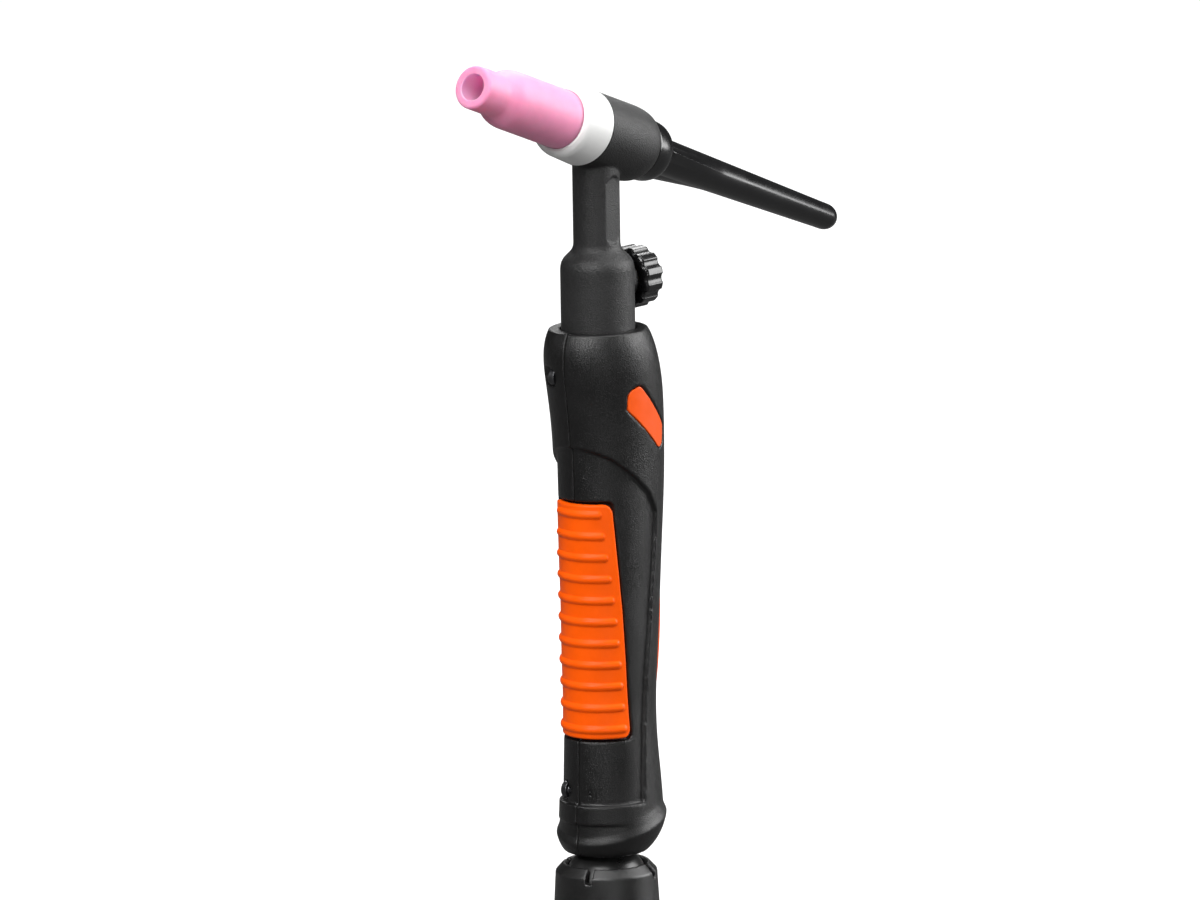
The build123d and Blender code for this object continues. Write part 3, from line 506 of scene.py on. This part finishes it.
def finish(name, colour, rough, pebble=0.35, bump=0.02, patch=9.0, drift=0.18, gloss_drift=0.06, rubbed=None,
           rub=0.5, dust=0.0, smears=0.0, rings=0.0, ring_pitch=0.25, fixed=None):
    """Material with grain, patches, rubbed edges, dust, smears and turning rings.

    fixed goes on the shader as is.
    """
    if name in FINISHES:
        return FINISHES[name]
    material = bpy.data.materials.new(name)
    material.use_nodes = True
    tree = material.node_tree
    shader = tree.nodes["Principled BSDF"]
    grain = effect(tree, "grain", Pebble=pebble, Patch=patch)
    paint = mix_colour(tree, grain["Patches"], shade(colour, 1 - drift), shade(colour, 1 + drift))
    gloss = remap(tree, grain["Patches"], 0.0, 1.0, rough - gloss_drift, rough + gloss_drift)
    if rubbed is not None:
        worn = math_node(tree, "MULTIPLY", effect(tree, "wear")["Rubbed"], rub)
        paint = mix_colour(tree, worn, paint, rubbed)
    if dust > 0:
        laid = math_node(tree, "MULTIPLY", effect(tree, "dust")["Dust"], dust)
        paint = mix_colour(tree, laid, paint, DUST_COLOUR)
        gloss = math_node(tree, "ADD", gloss, math_node(tree, "MULTIPLY", laid, 0.5))
    if smears > 0:
        marks = math_node(tree, "MULTIPLY", effect(tree, "smears")["Smears"], smears)
        gloss = math_node(tree, "ADD", gloss, marks)
    relief = grain["Height"]
    if rings > 0:
        lathe = effect(tree, "turning", Pitch=ring_pitch)["Rings"]
        relief = math_node(tree, "ADD", relief, math_node(tree, "MULTIPLY", lathe, rings))
    tree.links.new(paint, shader.inputs["Base Color"])
    tree.links.new(gloss, shader.inputs["Roughness"])
    surface = tree.nodes.new("ShaderNodeBump")
    surface.inputs["Strength"].default_value = 1.0
    surface.inputs["Distance"].default_value = bump * MM
    tree.links.new(relief, surface.inputs["Height"])
    tree.links.new(surface.outputs["Normal"], shader.inputs["Normal"])
    for label, value in (fixed or {}).items():
        shader.inputs[label].default_value = value
    FINISHES[name] = material
    return material


def paint_bore_light(material, colour, inner=4.02, outer=4.25):
    """Paints the bore lighter than the outside: painted light that stands in for the light that reaches into the
    bore. inner and outer are the radii between which it changes.
    """
    tree = material.node_tree
    shader = tree.nodes["Principled BSDF"]
    coordinate = tree.nodes.new("ShaderNodeTexCoord")
    offset = tree.nodes.new("ShaderNodeVectorMath")
    offset.operation = "SUBTRACT"
    offset.inputs[1].default_value = tuple(HEAD_CENTRE)
    tree.links.new(coordinate.outputs["Object"], offset.inputs[0])
    across = tree.nodes.new("ShaderNodeVectorMath")
    across.operation = "CROSS_PRODUCT"
    across.inputs[1].default_value = tuple(HEAD_FORWARD)
    tree.links.new(offset.outputs[0], across.inputs[0])
    reach = tree.nodes.new("ShaderNodeVectorMath")
    reach.operation = "LENGTH"
    tree.links.new(across.outputs[0], reach.inputs[0])
    # share of the painted light in the bore: full inside the inner radius, none beyond the outer
    inside = remap(tree, reach.outputs["Value"], outer * MM, inner * MM)
    paint = shader.inputs["Base Color"].links[0].from_socket
    tree.links.new(mix_colour(tree, inside, paint, colour), shader.inputs["Base Color"])
    return material


def pink_alumina():
    """Fired alumina: satin, faintly mottled, a little light inside, with painted light in its bore."""
    if "pink_alumina" in FINISHES:
        return FINISHES["pink_alumina"]
    colour = bpy.context.scene.torch_colours.alumina
    material = finish("pink_alumina", colour, 0.47, pebble=0.25, bump=0.004, patch=4.0, drift=0.04, smears=0.08,
                  fixed={"Subsurface Weight": 0.7, "Subsurface Radius": (0.0040, 0.0022, 0.0030),
                         "Subsurface Scale": 1.0, "Specular IOR Level": 0.45})
    # painted light in the bore: a lighter pink in place of the light that reaches into it
    return paint_bore_light(material, (1.0, 0.52, 0.74))


def white_ptfe():
    """Turned fluoropolymer: white, waxy, with fine rings."""
    colour = bpy.context.scene.torch_colours.ptfe
    return finish("white_ptfe", colour, 0.38, pebble=0.5, bump=0.006, drift=0.02, rings=0.6, ring_pitch=0.22,
                  fixed={"Subsurface Weight": 0.2, "Subsurface Radius": (0.001, 0.001, 0.001),
                         "Subsurface Scale": 1.0})


def head_rubber():
    """Silicone rubber with a fine moulded grain."""
    colour = bpy.context.scene.torch_colours.rubber
    return finish("head_rubber", colour, 0.50, pebble=0.42, bump=0.12, drift=0.25, rubbed=(0.03, 0.03, 0.03),
                  dust=0.012, fixed={"Specular IOR Level": 0.6})


def handle_plastic():
    """Filled nylon with a spark-eroded texture."""
    colour = bpy.context.scene.torch_colours.shell
    return finish("handle_plastic", colour, 0.34, pebble=0.36, bump=0.09, drift=0.2,
                  rubbed=(0.020, 0.019, 0.019), dust=0.004, fixed={"Specular IOR Level": 0.5})


def gloss_phenolic():
    """Hard glossy moulding of the cap."""
    colour = bpy.context.scene.torch_colours.gloss
    return finish("gloss_phenolic", colour, 0.20, pebble=1.4, bump=0.003, drift=0.2, gloss_drift=0.03,
                  smears=0.04, fixed={"Specular IOR Level": 0.55})


def gloss_knob():
    """Moulded knob, not quite as glossy as the cap."""
    colour = bpy.context.scene.torch_colours.gloss
    return finish("gloss_knob", colour, 0.24, pebble=0.9, bump=0.010, drift=0.2, gloss_drift=0.04,
                  rubbed=(0.02, 0.02, 0.02), smears=0.10)


def grip_elastomer():
    """Soft orange elastomer with a satin skin."""
    colour = bpy.context.scene.torch_colours.grip
    return finish("grip_elastomer", colour, 0.42, pebble=0.32, bump=0.014, patch=7.0, drift=0.05,
                  rubbed=(1.0, 0.18, 0.01), rub=0.4, fixed={"Specular IOR Level": 0.15})


def label_inlay():
    """Smooth orange inlay."""
    colour = bpy.context.scene.torch_colours.grip
    return finish("label_inlay", shade(colour, 0.98), 0.36, pebble=0.5, bump=0.006, drift=0.04, smears=0.1)


def cup_nylon():
    """Nylon of the cable cup."""
    colour = bpy.context.scene.torch_colours.shell
    return finish("cup_nylon", colour, 0.38, pebble=0.28, bump=0.05, drift=0.2,
                  rubbed=(0.035, 0.034, 0.033), dust=0.03, fixed={"Specular IOR Level": 0.7})


def ball_acetal():
    """Smooth acetal of the ball."""
    return finish("ball_acetal", (0.012, 0.012, 0.012), 0.30, pebble=0.8, bump=0.006, drift=0.15, smears=0.1)


def turned_brass():
    """Turned brass, lightly tarnished."""
    return finish("turned_brass", (0.76, 0.52, 0.22), 0.26, pebble=0.3, bump=0.003, patch=5.0, drift=0.12,
                  smears=0.15, rings=0.5, ring_pitch=0.18, fixed={"Metallic": 1.0})


def turned_copper():
    """Turned copper alloy."""
    return finish("turned_copper", (0.82, 0.42, 0.24), 0.27, pebble=0.3, bump=0.003, patch=5.0, drift=0.12,
                  smears=0.15, rings=0.5, ring_pitch=0.16, fixed={"Metallic": 1.0})


def ground_tungsten():
    """Ground electrode."""
    return finish("ground_tungsten", (0.42, 0.42, 0.43), 0.34, pebble=0.2, bump=0.003, drift=0.1, rings=0.8,
                  ring_pitch=0.12, fixed={"Metallic": 1.0})


def black_steel():
    """Blackened steel screws."""
    return finish("black_steel", (0.10, 0.10, 0.105), 0.36, pebble=0.3, bump=0.004, drift=0.15, smears=0.15,
                  fixed={"Metallic": 1.0})


def nitrile():
    """O-ring rubber."""
    return finish("nitrile", (0.010, 0.010, 0.010), 0.45, pebble=0.3, bump=0.008, drift=0.15)


# ---- pieces -------------------------------------------------------------------------------
def turned_piece(name, node, corners, finish_used, origin=HEAD_CENTRE, along=HEAD_FORWARD, across=ACROSS,
                 steps=None, radius_at=None, soft=5):
    """Turned piece from a cornered outline, standing for a CAD node."""
    count = steps or bpy.context.scene.torch_shape.round_steps
    data = turned_mesh(name, eased(corners, soft), origin, along, across, count, radius_at)
    piece = link(name, data)
    settle(piece, node, finish_used)
    even_normals(piece)
    return piece


def make_nozzle():
    """Gas nozzle: slim front, short flared shoulder, wide rear, bored through."""
    shape = bpy.context.scene.torch_shape
    bore = shape.nozzle_bore / MM
    tip = shape.nozzle_tip / MM
    body = shape.nozzle_body / MM
    corners = [
        (14.62, 6.25, 0.2),
        (14.62, body, 0.5),
        (46.3, body, 2.6),
        (50.4, tip + 0.5, 1.6),
        (51.6, tip, 0.7),
        (61.98, tip - 0.03, 1.15),
        (61.98, bore, 0.45),
        (46.0, bore, 0.5),
        (32.0, 6.25, 0.5),
    ]
    turned_piece("nozzle_ceramic", "gas_nozzle", corners, pink_alumina(), soft=8)


def make_heat_shield():
    """White ring between the head and the nozzle, with its front lip turned in."""
    corners = [
        (6.46, 5.97, 0.0),
        (6.46, 11.58, 0.25),
        (15.9, 11.18, 0.8),
        (17.35, 10.65, 0.6),
        (18.28, 9.70, 0.35),
        (18.28, 9.02, 0.10),
        (14.3, 9.02, 0.1),
        (14.3, 5.97, 0.1),
    ]
    turned_piece("heat_shield_ring", "heat_shield", corners, white_ptfe())


def make_head():
    """Rubber moulding over the head, the neck and the valve."""
    shape = bpy.context.scene.torch_shape
    piece = moulded("head_moulding", "head_insulator", shape.shell_cell * 0.85, 4, 0.55)
    settle(piece, "head_insulator", head_rubber())


def cap_radius(station, radius, angle):
    """Radius of the back cap with its three long fins, which fade towards the tip."""
    shape = bpy.context.scene.torch_shape
    if radius < CAP_CORE_RADIUS or station > FIN_FRONT or station < FIN_END:
        return radius
    rise = shape.fin_rise / MM
    if station > FIN_CREST:
        height = rise * min(1.0, FIN_FRONT - station + 0.5)
    else:
        height = rise * (station - FIN_END) / (FIN_CREST - FIN_END)
    lobe = 0.0
    for turn in range(FIN_COUNT):
        centre = math.radians(FIN_TURN + 360 / FIN_COUNT * turn)
        away = abs((angle - centre + math.pi) % math.tau - math.pi)
        share = max(0.0, 1.0 - away / shape.fin_spread)
        lobe = max(lobe, share ** 1.1)
    return radius + height * lobe


def make_back_cap():
    """Long back cap with a collar, fins and a rounded end."""
    count = bpy.context.scene.torch_shape.round_steps * 2
    start, widest = CAP_RIM[-1]
    collar = list(CAP_RIM)
    for step in range(1, CAP_COLLAR_STEPS + 1):
        t = step / CAP_COLLAR_STEPS
        collar.append((start - CAP_COLLAR_LENGTH * t, widest - CAP_COLLAR_DROP * t ** 4.5))
    start, widest = CAP_STEP_DOWN[-1]
    body = []
    for step in range(1, CAP_BODY_RINGS + 1):
        back = step * CAP_BODY_PITCH
        body.append((start - back, widest - back / CAP_TAPER_LENGTH * CAP_TAPER))
    tip = []
    for step in range(CAP_TIP_STEPS + 1):
        turn = math.radians(90 * step / CAP_TIP_STEPS)
        reach = CAP_TIP_RADIUS * math.cos(turn) ** 0.9 + 0.02
        tip.append((CAP_TIP_START - CAP_TIP_LENGTH * math.sin(turn), reach))
    outline = collar + list(CAP_STEP_DOWN) + body + tip + list(CAP_INSIDE)
    data = turned_mesh("back_cap_phenolic", outline, HEAD_CENTRE, HEAD_FORWARD, ACROSS, count, cap_radius)
    piece = link("back_cap_phenolic", data)
    settle(piece, "back_cap", gloss_phenolic())


def make_knob():
    """Fluted knob of the gas valve."""
    shape = bpy.context.scene.torch_shape
    flutes = shape.flute_count
    depth = shape.flute_depth / MM

    def fluted(station, radius, angle):
        if radius < FLUTE_FOOT:
            return radius
        away = abs((angle * flutes / math.tau + 0.5) % 1.0 - 0.5) * math.tau / flutes * radius
        groove = max(0.0, 1.0 - (away / FLUTE_HALF_WIDTH) ** 2) ** 0.8
        return radius - depth * groove * min(1.0, (radius - FLUTE_FOOT) / FLUTE_RAMP)

    corners = [
        (12.62, 3.66, 0.0),
        (12.62, 8.6, 0.5),
        (13.2, 9.4, 0.5),
        (20.1, 9.4, 0.5),
        (20.95, 8.5, 0.6),
        (20.95, 6.9, 0.3),
        (20.45, 6.4, 0.3),
        (20.45, 0.0, 0.0),
        (19.4, 0.0, 0.0),
        (19.4, 3.66, 0.0),
    ]
    centre = Vector((0, 0, VALVE_HEIGHT * MM))
    turned_piece("valve_knob_fluted", "valve_knob", corners, gloss_knob(), origin=centre,
                 along=Vector((0, 1, 0)), steps=384, radius_at=fluted)


def tighten_parting(piece, node, reach):
    """Brings the shell's skin beside the parting plane back to the exact form, so that the line stays fine."""
    near = piece.vertex_groups.new(name="parting")
    near.add([vertex.index for vertex in piece.data.vertices if abs(vertex.co.x) < reach], 1.0, "REPLACE")
    wrap = piece.modifiers.new("parting", "SHRINKWRAP")
    wrap.target = frame["nodes"][node]
    wrap.wrap_method = "NEAREST_SURFACEPOINT"
    wrap.vertex_group = near.name
    graph = bpy.context.evaluated_depsgraph_get()
    done = bpy.data.meshes.new_from_object(piece.evaluated_get(graph), depsgraph=graph)
    piece.modifiers.clear()
    piece.vertex_groups.clear()
    piece.data = done
    done.name = piece.name


def make_handle():
    """Two handle shells, with their parting line, panel, pockets and screw holes."""
    shape = bpy.context.scene.torch_shape
    for side in ("left", "right"):
        node = "handle_shell_" + side
        piece = moulded("grip_shell_" + side, node, shape.shell_cell, 3, 0.5)
        tighten_parting(piece, node, shape.shell_cell * 2.0)
        settle(piece, node, handle_plastic())


def make_screws():
    """Cross-recess screws that hold the shells."""
    shape = bpy.context.scene.torch_shape
    piece = moulded("shell_screws", "handle_screws", shape.small_cell * 0.6, 1, 0.6)
    settle(piece, "handle_screws", black_steel())


def between(rows, height):
    """Value at a height in a table of (height, value)."""
    for lower, upper in zip(rows, rows[1:]):
        if height <= upper[0]:
            break
    share = min(1.0, max(0.0, (height - lower[0]) / (upper[0] - lower[0])))
    return lower[1] + share * (upper[1] - lower[1])


def form_at(height):
    """Half width, half depth and offset of the handle's outer form, eased through its sections."""
    last = len(HANDLE_FORM) - 2
    place = next((number for number in range(last + 1) if height <= HANDLE_FORM[number + 1][0]), last)
    before, lower, upper, after = (HANDLE_FORM[max(0, min(last + 1, place + shift))] for shift in (-1, 0, 1, 2))
    span = upper[0] - lower[0]
    t = (height - lower[0]) / span
    values = []
    for part in (1, 2, 3):
        start = (upper[part] - before[part]) / (upper[0] - before[0]) * span
        end = (after[part] - lower[part]) / (after[0] - lower[0]) * span
        values.append(
            (2 * t ** 3 - 3 * t ** 2 + 1) * lower[part] + (t ** 3 - 2 * t ** 2 + t) * start
            + (3 * t ** 2 - 2 * t ** 3) * upper[part] + (t ** 3 - t ** 2) * end)
    return values


def pad_inset(height, turn, limit, reach, rise, width):
    """How far inside the handle's outer form the pad's skin lies, with its rounded edge and its ribs."""
    edge = min((limit - abs(turn)) * reach, height - PAD_BOTTOM, PAD_TOP - height)
    ease = PAD_EDGE_ROUND
    inset = PAD_INSET
    if edge < ease:
        inset += ease - math.sqrt(max(0.0, ease ** 2 - (ease - max(0.0, edge)) ** 2))
    number = round((RIB_TOP - height) / RIB_PITCH)
    if 0 <= number < RIB_COUNT:
        rib = RIB_TOP - number * RIB_PITCH
        half_width, half_depth, offset = form_at(rib)
        corner = math.acos(min(1.0, (offset - between(RIB_ENDS, rib)) / (half_depth - PAD_INSET)))
        end = corner * reach - width / 2
        away = math.hypot(rib - height, max(0.0, abs(turn) * reach - end))
        inset -= rise * max(0.0, 1.0 - (away / (width / 2)) ** 2) ** 0.75
    return inset


def front_pad_mesh(rise, width):
    """Front pad as a skin over the handle's form, ribbed across, closed behind."""
    rows = PAD_ROWS
    columns = PAD_COLUMNS
    mesh = bmesh.new()
    skins = []
    for back in (False, True):
        skin = []
        for row in range(rows + 1):
            height = PAD_BOTTOM + (PAD_TOP - PAD_BOTTOM) * row / rows
            half_width, half_depth, offset = form_at(height)
            reach = (half_width + half_depth) / 2
            limit = math.acos((offset - between(PAD_EDGE, height)) / (half_depth - PAD_INSET))
            near_end = min(height - PAD_BOTTOM, PAD_TOP - height)
            if near_end < PAD_CORNER:
                limit -= (PAD_CORNER - math.sqrt(PAD_CORNER ** 2 - (PAD_CORNER - near_end) ** 2)) / reach
            line = []
            for column in range(columns + 1):
                turn = limit * (2 * column / columns - 1)
                inset = PAD_BACK_INSET if back else pad_inset(height, turn, limit, reach, rise, width)
                line.append(mesh.verts.new((
                    (half_width - inset) * math.sin(turn) * MM,
                    (offset - (half_depth - inset) * math.cos(turn)) * MM,
                    height * MM)))
            skin.append(line)
        skins.append(skin)
    outer, inner = skins
    for row in range(rows):
        for column in range(columns):
            for skin in skins:
                lower, upper = skin[row], skin[row + 1]
                mesh.faces.new((lower[column], lower[column + 1], upper[column + 1], upper[column]))
    rim = [(0, column) for column in range(columns + 1)]
    rim += [(row, columns) for row in range(1, rows + 1)]
    rim += [(rows, column) for column in range(columns - 1, -1, -1)]
    rim += [(row, 0) for row in range(rows - 1, 0, -1)]
    for (row, column), (next_row, next_column) in zip(rim, rim[1:] + rim[:1]):
        mesh.faces.new((outer[row][column], outer[next_row][next_column], inner[next_row][next_column],
                        inner[row][column]))
    bmesh.ops.recalc_face_normals(mesh, faces=mesh.faces)
    data = bpy.data.meshes.new("grip_pad_ribbed")
    mesh.to_mesh(data)
    mesh.free()
    data.polygons.foreach_set("use_smooth", [True] * len(data.polygons))
    return data


def make_pads():
    """Ribbed front pad and plain rear pad."""
    shape = bpy.context.scene.torch_shape
    front = link("grip_pad_ribbed", front_pad_mesh(shape.rib_rise / MM, shape.rib_width / MM))
    settle(front, "front_grip_pad", grip_elastomer())
    rear = moulded("grip_pad_rear", "rear_grip_pad", shape.small_cell, 4, 0.6)
    settle(rear, "rear_grip_pad", grip_elastomer())


def make_labels():
    """Blank inlays on the flanks."""
    shape = bpy.context.scene.torch_shape
    for side in ("left", "right"):
        node = "label_plate_" + side
        piece = moulded("flank_inlay_" + side, node, shape.small_cell * 0.6, 2, 0.6)
        settle(piece, node, label_inlay())


def make_cable_joint():
    """Ball and cup that guide the cable out of the handle."""
    shape = bpy.context.scene.torch_shape
    ball = moulded("joint_ball", "pivot_ball", shape.shell_cell, 4, 0.6)
    settle(ball, "pivot_ball", ball_acetal())
    cup = moulded("joint_cup", "cable_cup", shape.shell_cell * 0.85, 3, 0.6)
    settle(cup, "cable_cup", cup_nylon())


def make_inner_parts():
    """Finishes of the metal and rubber pieces inside the torch."""
    for node in ("head_core", "valve_body", "valve_gland", "valve_stem", "knob_insert", "power_stud", "cap_insert"):
        coat_node(node, turned_brass())
    for node in ("neck_tube", "collet_body", "collet"):
        coat_node(node, turned_copper())
    coat_node("tungsten_electrode", ground_tungsten())
    for node in ("stem_oring", "cap_oring"):
        coat_node(node, nitrile())


# ---- studio ---------------------------------------------------------------------------------
def soft_light(name, place, width, height, power):
    """Area light that looks at the torch."""
    lamp = bpy.data.lights.new(name, "AREA")
    lamp.shape = "RECTANGLE"
    lamp.size = width
    lamp.size_y = height
    lamp.energy = power
    holder = bpy.data.objects.new(name, lamp)
    bpy.context.scene.collection.objects.link(holder)
    holder.location = place
    holder.rotation_euler = (Vector(place) - Vector(LIGHT_AIM)).to_track_quat("Z", "Y").to_euler()


def around(azimuth, elevation, distance):
    """Place round the torch, with the angles in degrees."""
    swing = math.radians(azimuth)
    lift = math.radians(elevation)
    return (math.sin(swing) * math.cos(lift) * distance, -math.cos(swing) * math.cos(lift) * distance,
            math.sin(lift) * distance + LIGHT_ORBIT_HEIGHT)


def floor_paper():
    """Pale paper that throws little light back up at the torch."""
    paper = bpy.data.materials.new("floor_paper")
    paper.use_nodes = True
    tree = paper.node_tree
    shader = tree.nodes["Principled BSDF"]
    path = tree.nodes.new("ShaderNodeLightPath")
    tone = mix_colour(tree, path.outputs["Is Camera Ray"], (0.11, 0.11, 0.11), (0.45, 0.45, 0.45))
    tree.links.new(tone, shader.inputs["Base Color"])
    glow = remap(tree, path.outputs["Is Camera Ray"], 0.0, 1.0, 0.0, 0.62)
    tree.links.new(glow, shader.inputs["Emission Strength"])
    shader.inputs["Emission Color"].default_value = (1.0, 1.0, 1.0, 1.0)
    shader.inputs["Roughness"].default_value = 0.9
    shader.inputs["Specular IOR Level"].default_value = 0.1
    return paper


def make_room(strength):
    """White room behind, dim enough to leave the black pieces black."""
    world = bpy.data.worlds.new("studio_room")
    world.use_nodes = True
    tree = world.node_tree
    back = tree.nodes["Background"]
    path = tree.nodes.new("ShaderNodeLightPath")
    glow = remap(tree, path.outputs["Is Camera Ray"], 0.0, 1.0, strength, 0.93)
    tree.links.new(glow, back.inputs["Strength"])
    back.inputs["Color"].default_value = (1.0, 1.0, 1.0, 1.0)
    bpy.context.scene.world = world


def make_stage():
    """Pale floor, soft lights and the camera."""
    studio = bpy.context.scene.torch_studio
    half = studio.floor_size / 2
    mesh = bmesh.new()
    corners = [mesh.verts.new(spot) for spot in
               ((-half, -half, 0.0), (half, -half, 0.0), (half, half, 0.0), (-half, half, 0.0))]
    mesh.faces.new(corners)
    data = bpy.data.meshes.new("studio_floor")
    mesh.to_mesh(data)
    mesh.free()
    floor = link("studio_floor", data)
    floor.location.z = -0.0005
    floor.data.materials.append(floor_paper())
    make_room(studio.sky)

    for name, azimuth, elevation, distance, width, height, power in SOFT_LIGHTS:
        soft_light(name, around(azimuth, elevation, distance), width, height, power)

    swing = studio.azimuth
    lift = studio.elevation
    backward = Vector((math.sin(swing) * math.cos(lift), -math.cos(swing) * math.cos(lift), math.sin(lift)))
    lens = bpy.data.cameras.new("torch_camera")
    lens.lens = studio.lens
    lens.sensor_width = 36.0
    lens.clip_end = 50.0
    camera = bpy.data.objects.new("torch_camera", lens)
    bpy.context.scene.collection.objects.link(camera)
    turn = backward.to_track_quat("Z", "Y").to_matrix().to_4x4() @ Matrix.Rotation(studio.roll, 4, "Z")
    place = Vector((0, 0, studio.target_height)) + backward * studio.distance
    camera.matrix_world = Matrix.Translation(place) @ turn
    bpy.context.scene.camera = camera
    bpy.context.scene.view_settings.view_transform = "Standard"
    bpy.context.scene.view_settings.look = "None"


# ---- operators -------------------------------------------------------------------------------
class TORCH_OT_nozzle(bpy.types.Operator):
    """Make the gas nozzle"""

    bl_idname = "torch.nozzle"
    bl_label = "Gas nozzle"

    def execute(self, context):
        make_nozzle()
        return {"FINISHED"}


class TORCH_OT_heat_shield(bpy.types.Operator):
    """Make the heat shield ring"""

    bl_idname = "torch.heat_shield"
    bl_label = "Heat shield"

    def execute(self, context):
        make_heat_shield()
        return {"FINISHED"}


class TORCH_OT_head(bpy.types.Operator):
    """Make the rubber head and neck"""

    bl_idname = "torch.head"
    bl_label = "Head and neck"

    def execute(self, context):
        make_head()
        return {"FINISHED"}


class TORCH_OT_back_cap(bpy.types.Operator):
    """Make the back cap"""

    bl_idname = "torch.back_cap"
    bl_label = "Back cap"

    def execute(self, context):
        make_back_cap()
        return {"FINISHED"}


class TORCH_OT_knob(bpy.types.Operator):
    """Make the valve knob"""

    bl_idname = "torch.knob"
    bl_label = "Valve knob"

    def execute(self, context):
        make_knob()
        return {"FINISHED"}


class TORCH_OT_handle(bpy.types.Operator):
    """Make the handle shells and their screws"""

    bl_idname = "torch.handle"
    bl_label = "Handle shells"

    def execute(self, context):
        make_handle()
        make_screws()
        return {"FINISHED"}


class TORCH_OT_pads(bpy.types.Operator):
    """Make the grip pads"""

    bl_idname = "torch.pads"
    bl_label = "Grip pads"

    def execute(self, context):
        make_pads()
        return {"FINISHED"}


class TORCH_OT_labels(bpy.types.Operator):
    """Make the flank inlays"""

    bl_idname = "torch.labels"
    bl_label = "Flank inlays"

    def execute(self, context):
        make_labels()
        return {"FINISHED"}


class TORCH_OT_cable_joint(bpy.types.Operator):
    """Make the ball and the cable cup"""

    bl_idname = "torch.cable_joint"
    bl_label = "Cable joint"

    def execute(self, context):
        make_cable_joint()
        return {"FINISHED"}


class TORCH_OT_inner_parts(bpy.types.Operator):
    """Give the inner metal and rubber pieces their finishes"""

    bl_idname = "torch.inner_parts"
    bl_label = "Inner parts"

    def execute(self, context):
        make_inner_parts()
        return {"FINISHED"}


class TORCH_OT_stage(bpy.types.Operator):
    """Make the floor, the lights and the camera"""

    bl_idname = "torch.stage"
    bl_label = "Studio"

    def execute(self, context):
        make_stage()
        return {"FINISHED"}


STEPS = (TORCH_OT_nozzle, TORCH_OT_heat_shield, TORCH_OT_head, TORCH_OT_back_cap, TORCH_OT_knob, TORCH_OT_handle,
         TORCH_OT_pads, TORCH_OT_labels, TORCH_OT_cable_joint, TORCH_OT_inner_parts, TORCH_OT_stage)


class TORCH_PT_panel(bpy.types.Panel):
    """Lists the torch's sizes, colours and pieces"""

    bl_idname = "TORCH_PT_panel"
    bl_label = "Welding torch"
    bl_space_type = "VIEW_3D"
    bl_region_type = "UI"
    bl_category = "Torch"

    def draw(self, context):
        scene = context.scene
        for title, settings in (("Sizes", scene.torch_shape), ("Colours", scene.torch_colours),
                                ("Studio", scene.torch_studio)):
            box = self.layout.box()
            box.label(text=title)
            for label in settings.__annotations__:
                box.prop(settings, label)
        column = self.layout.column(align=True)
        for step in STEPS:
            column.operator(step.bl_idname)


CLASSES = (TorchShape, TorchColours, TorchStudio) + STEPS + (TORCH_PT_panel,)


def register():
    for kind in CLASSES:
        bpy.utils.register_class(kind)
    bpy.types.Scene.torch_shape = bpy.props.PointerProperty(type=TorchShape)
    bpy.types.Scene.torch_colours = bpy.props.PointerProperty(type=TorchColours)
    bpy.types.Scene.torch_studio = bpy.props.PointerProperty(type=TorchStudio)


def unregister():
    del bpy.types.Scene.torch_studio
    del bpy.types.Scene.torch_colours
    del bpy.types.Scene.torch_shape
    for kind in reversed(CLASSES):
        bpy.utils.unregister_class(kind)


def main():
    """Builds every piece and the studio."""
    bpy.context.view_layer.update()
    register()
    for step in STEPS:
        group, action = step.bl_idname.split(".")
        getattr(getattr(bpy.ops, group), action)()


if __name__ == "__main__":
    main()
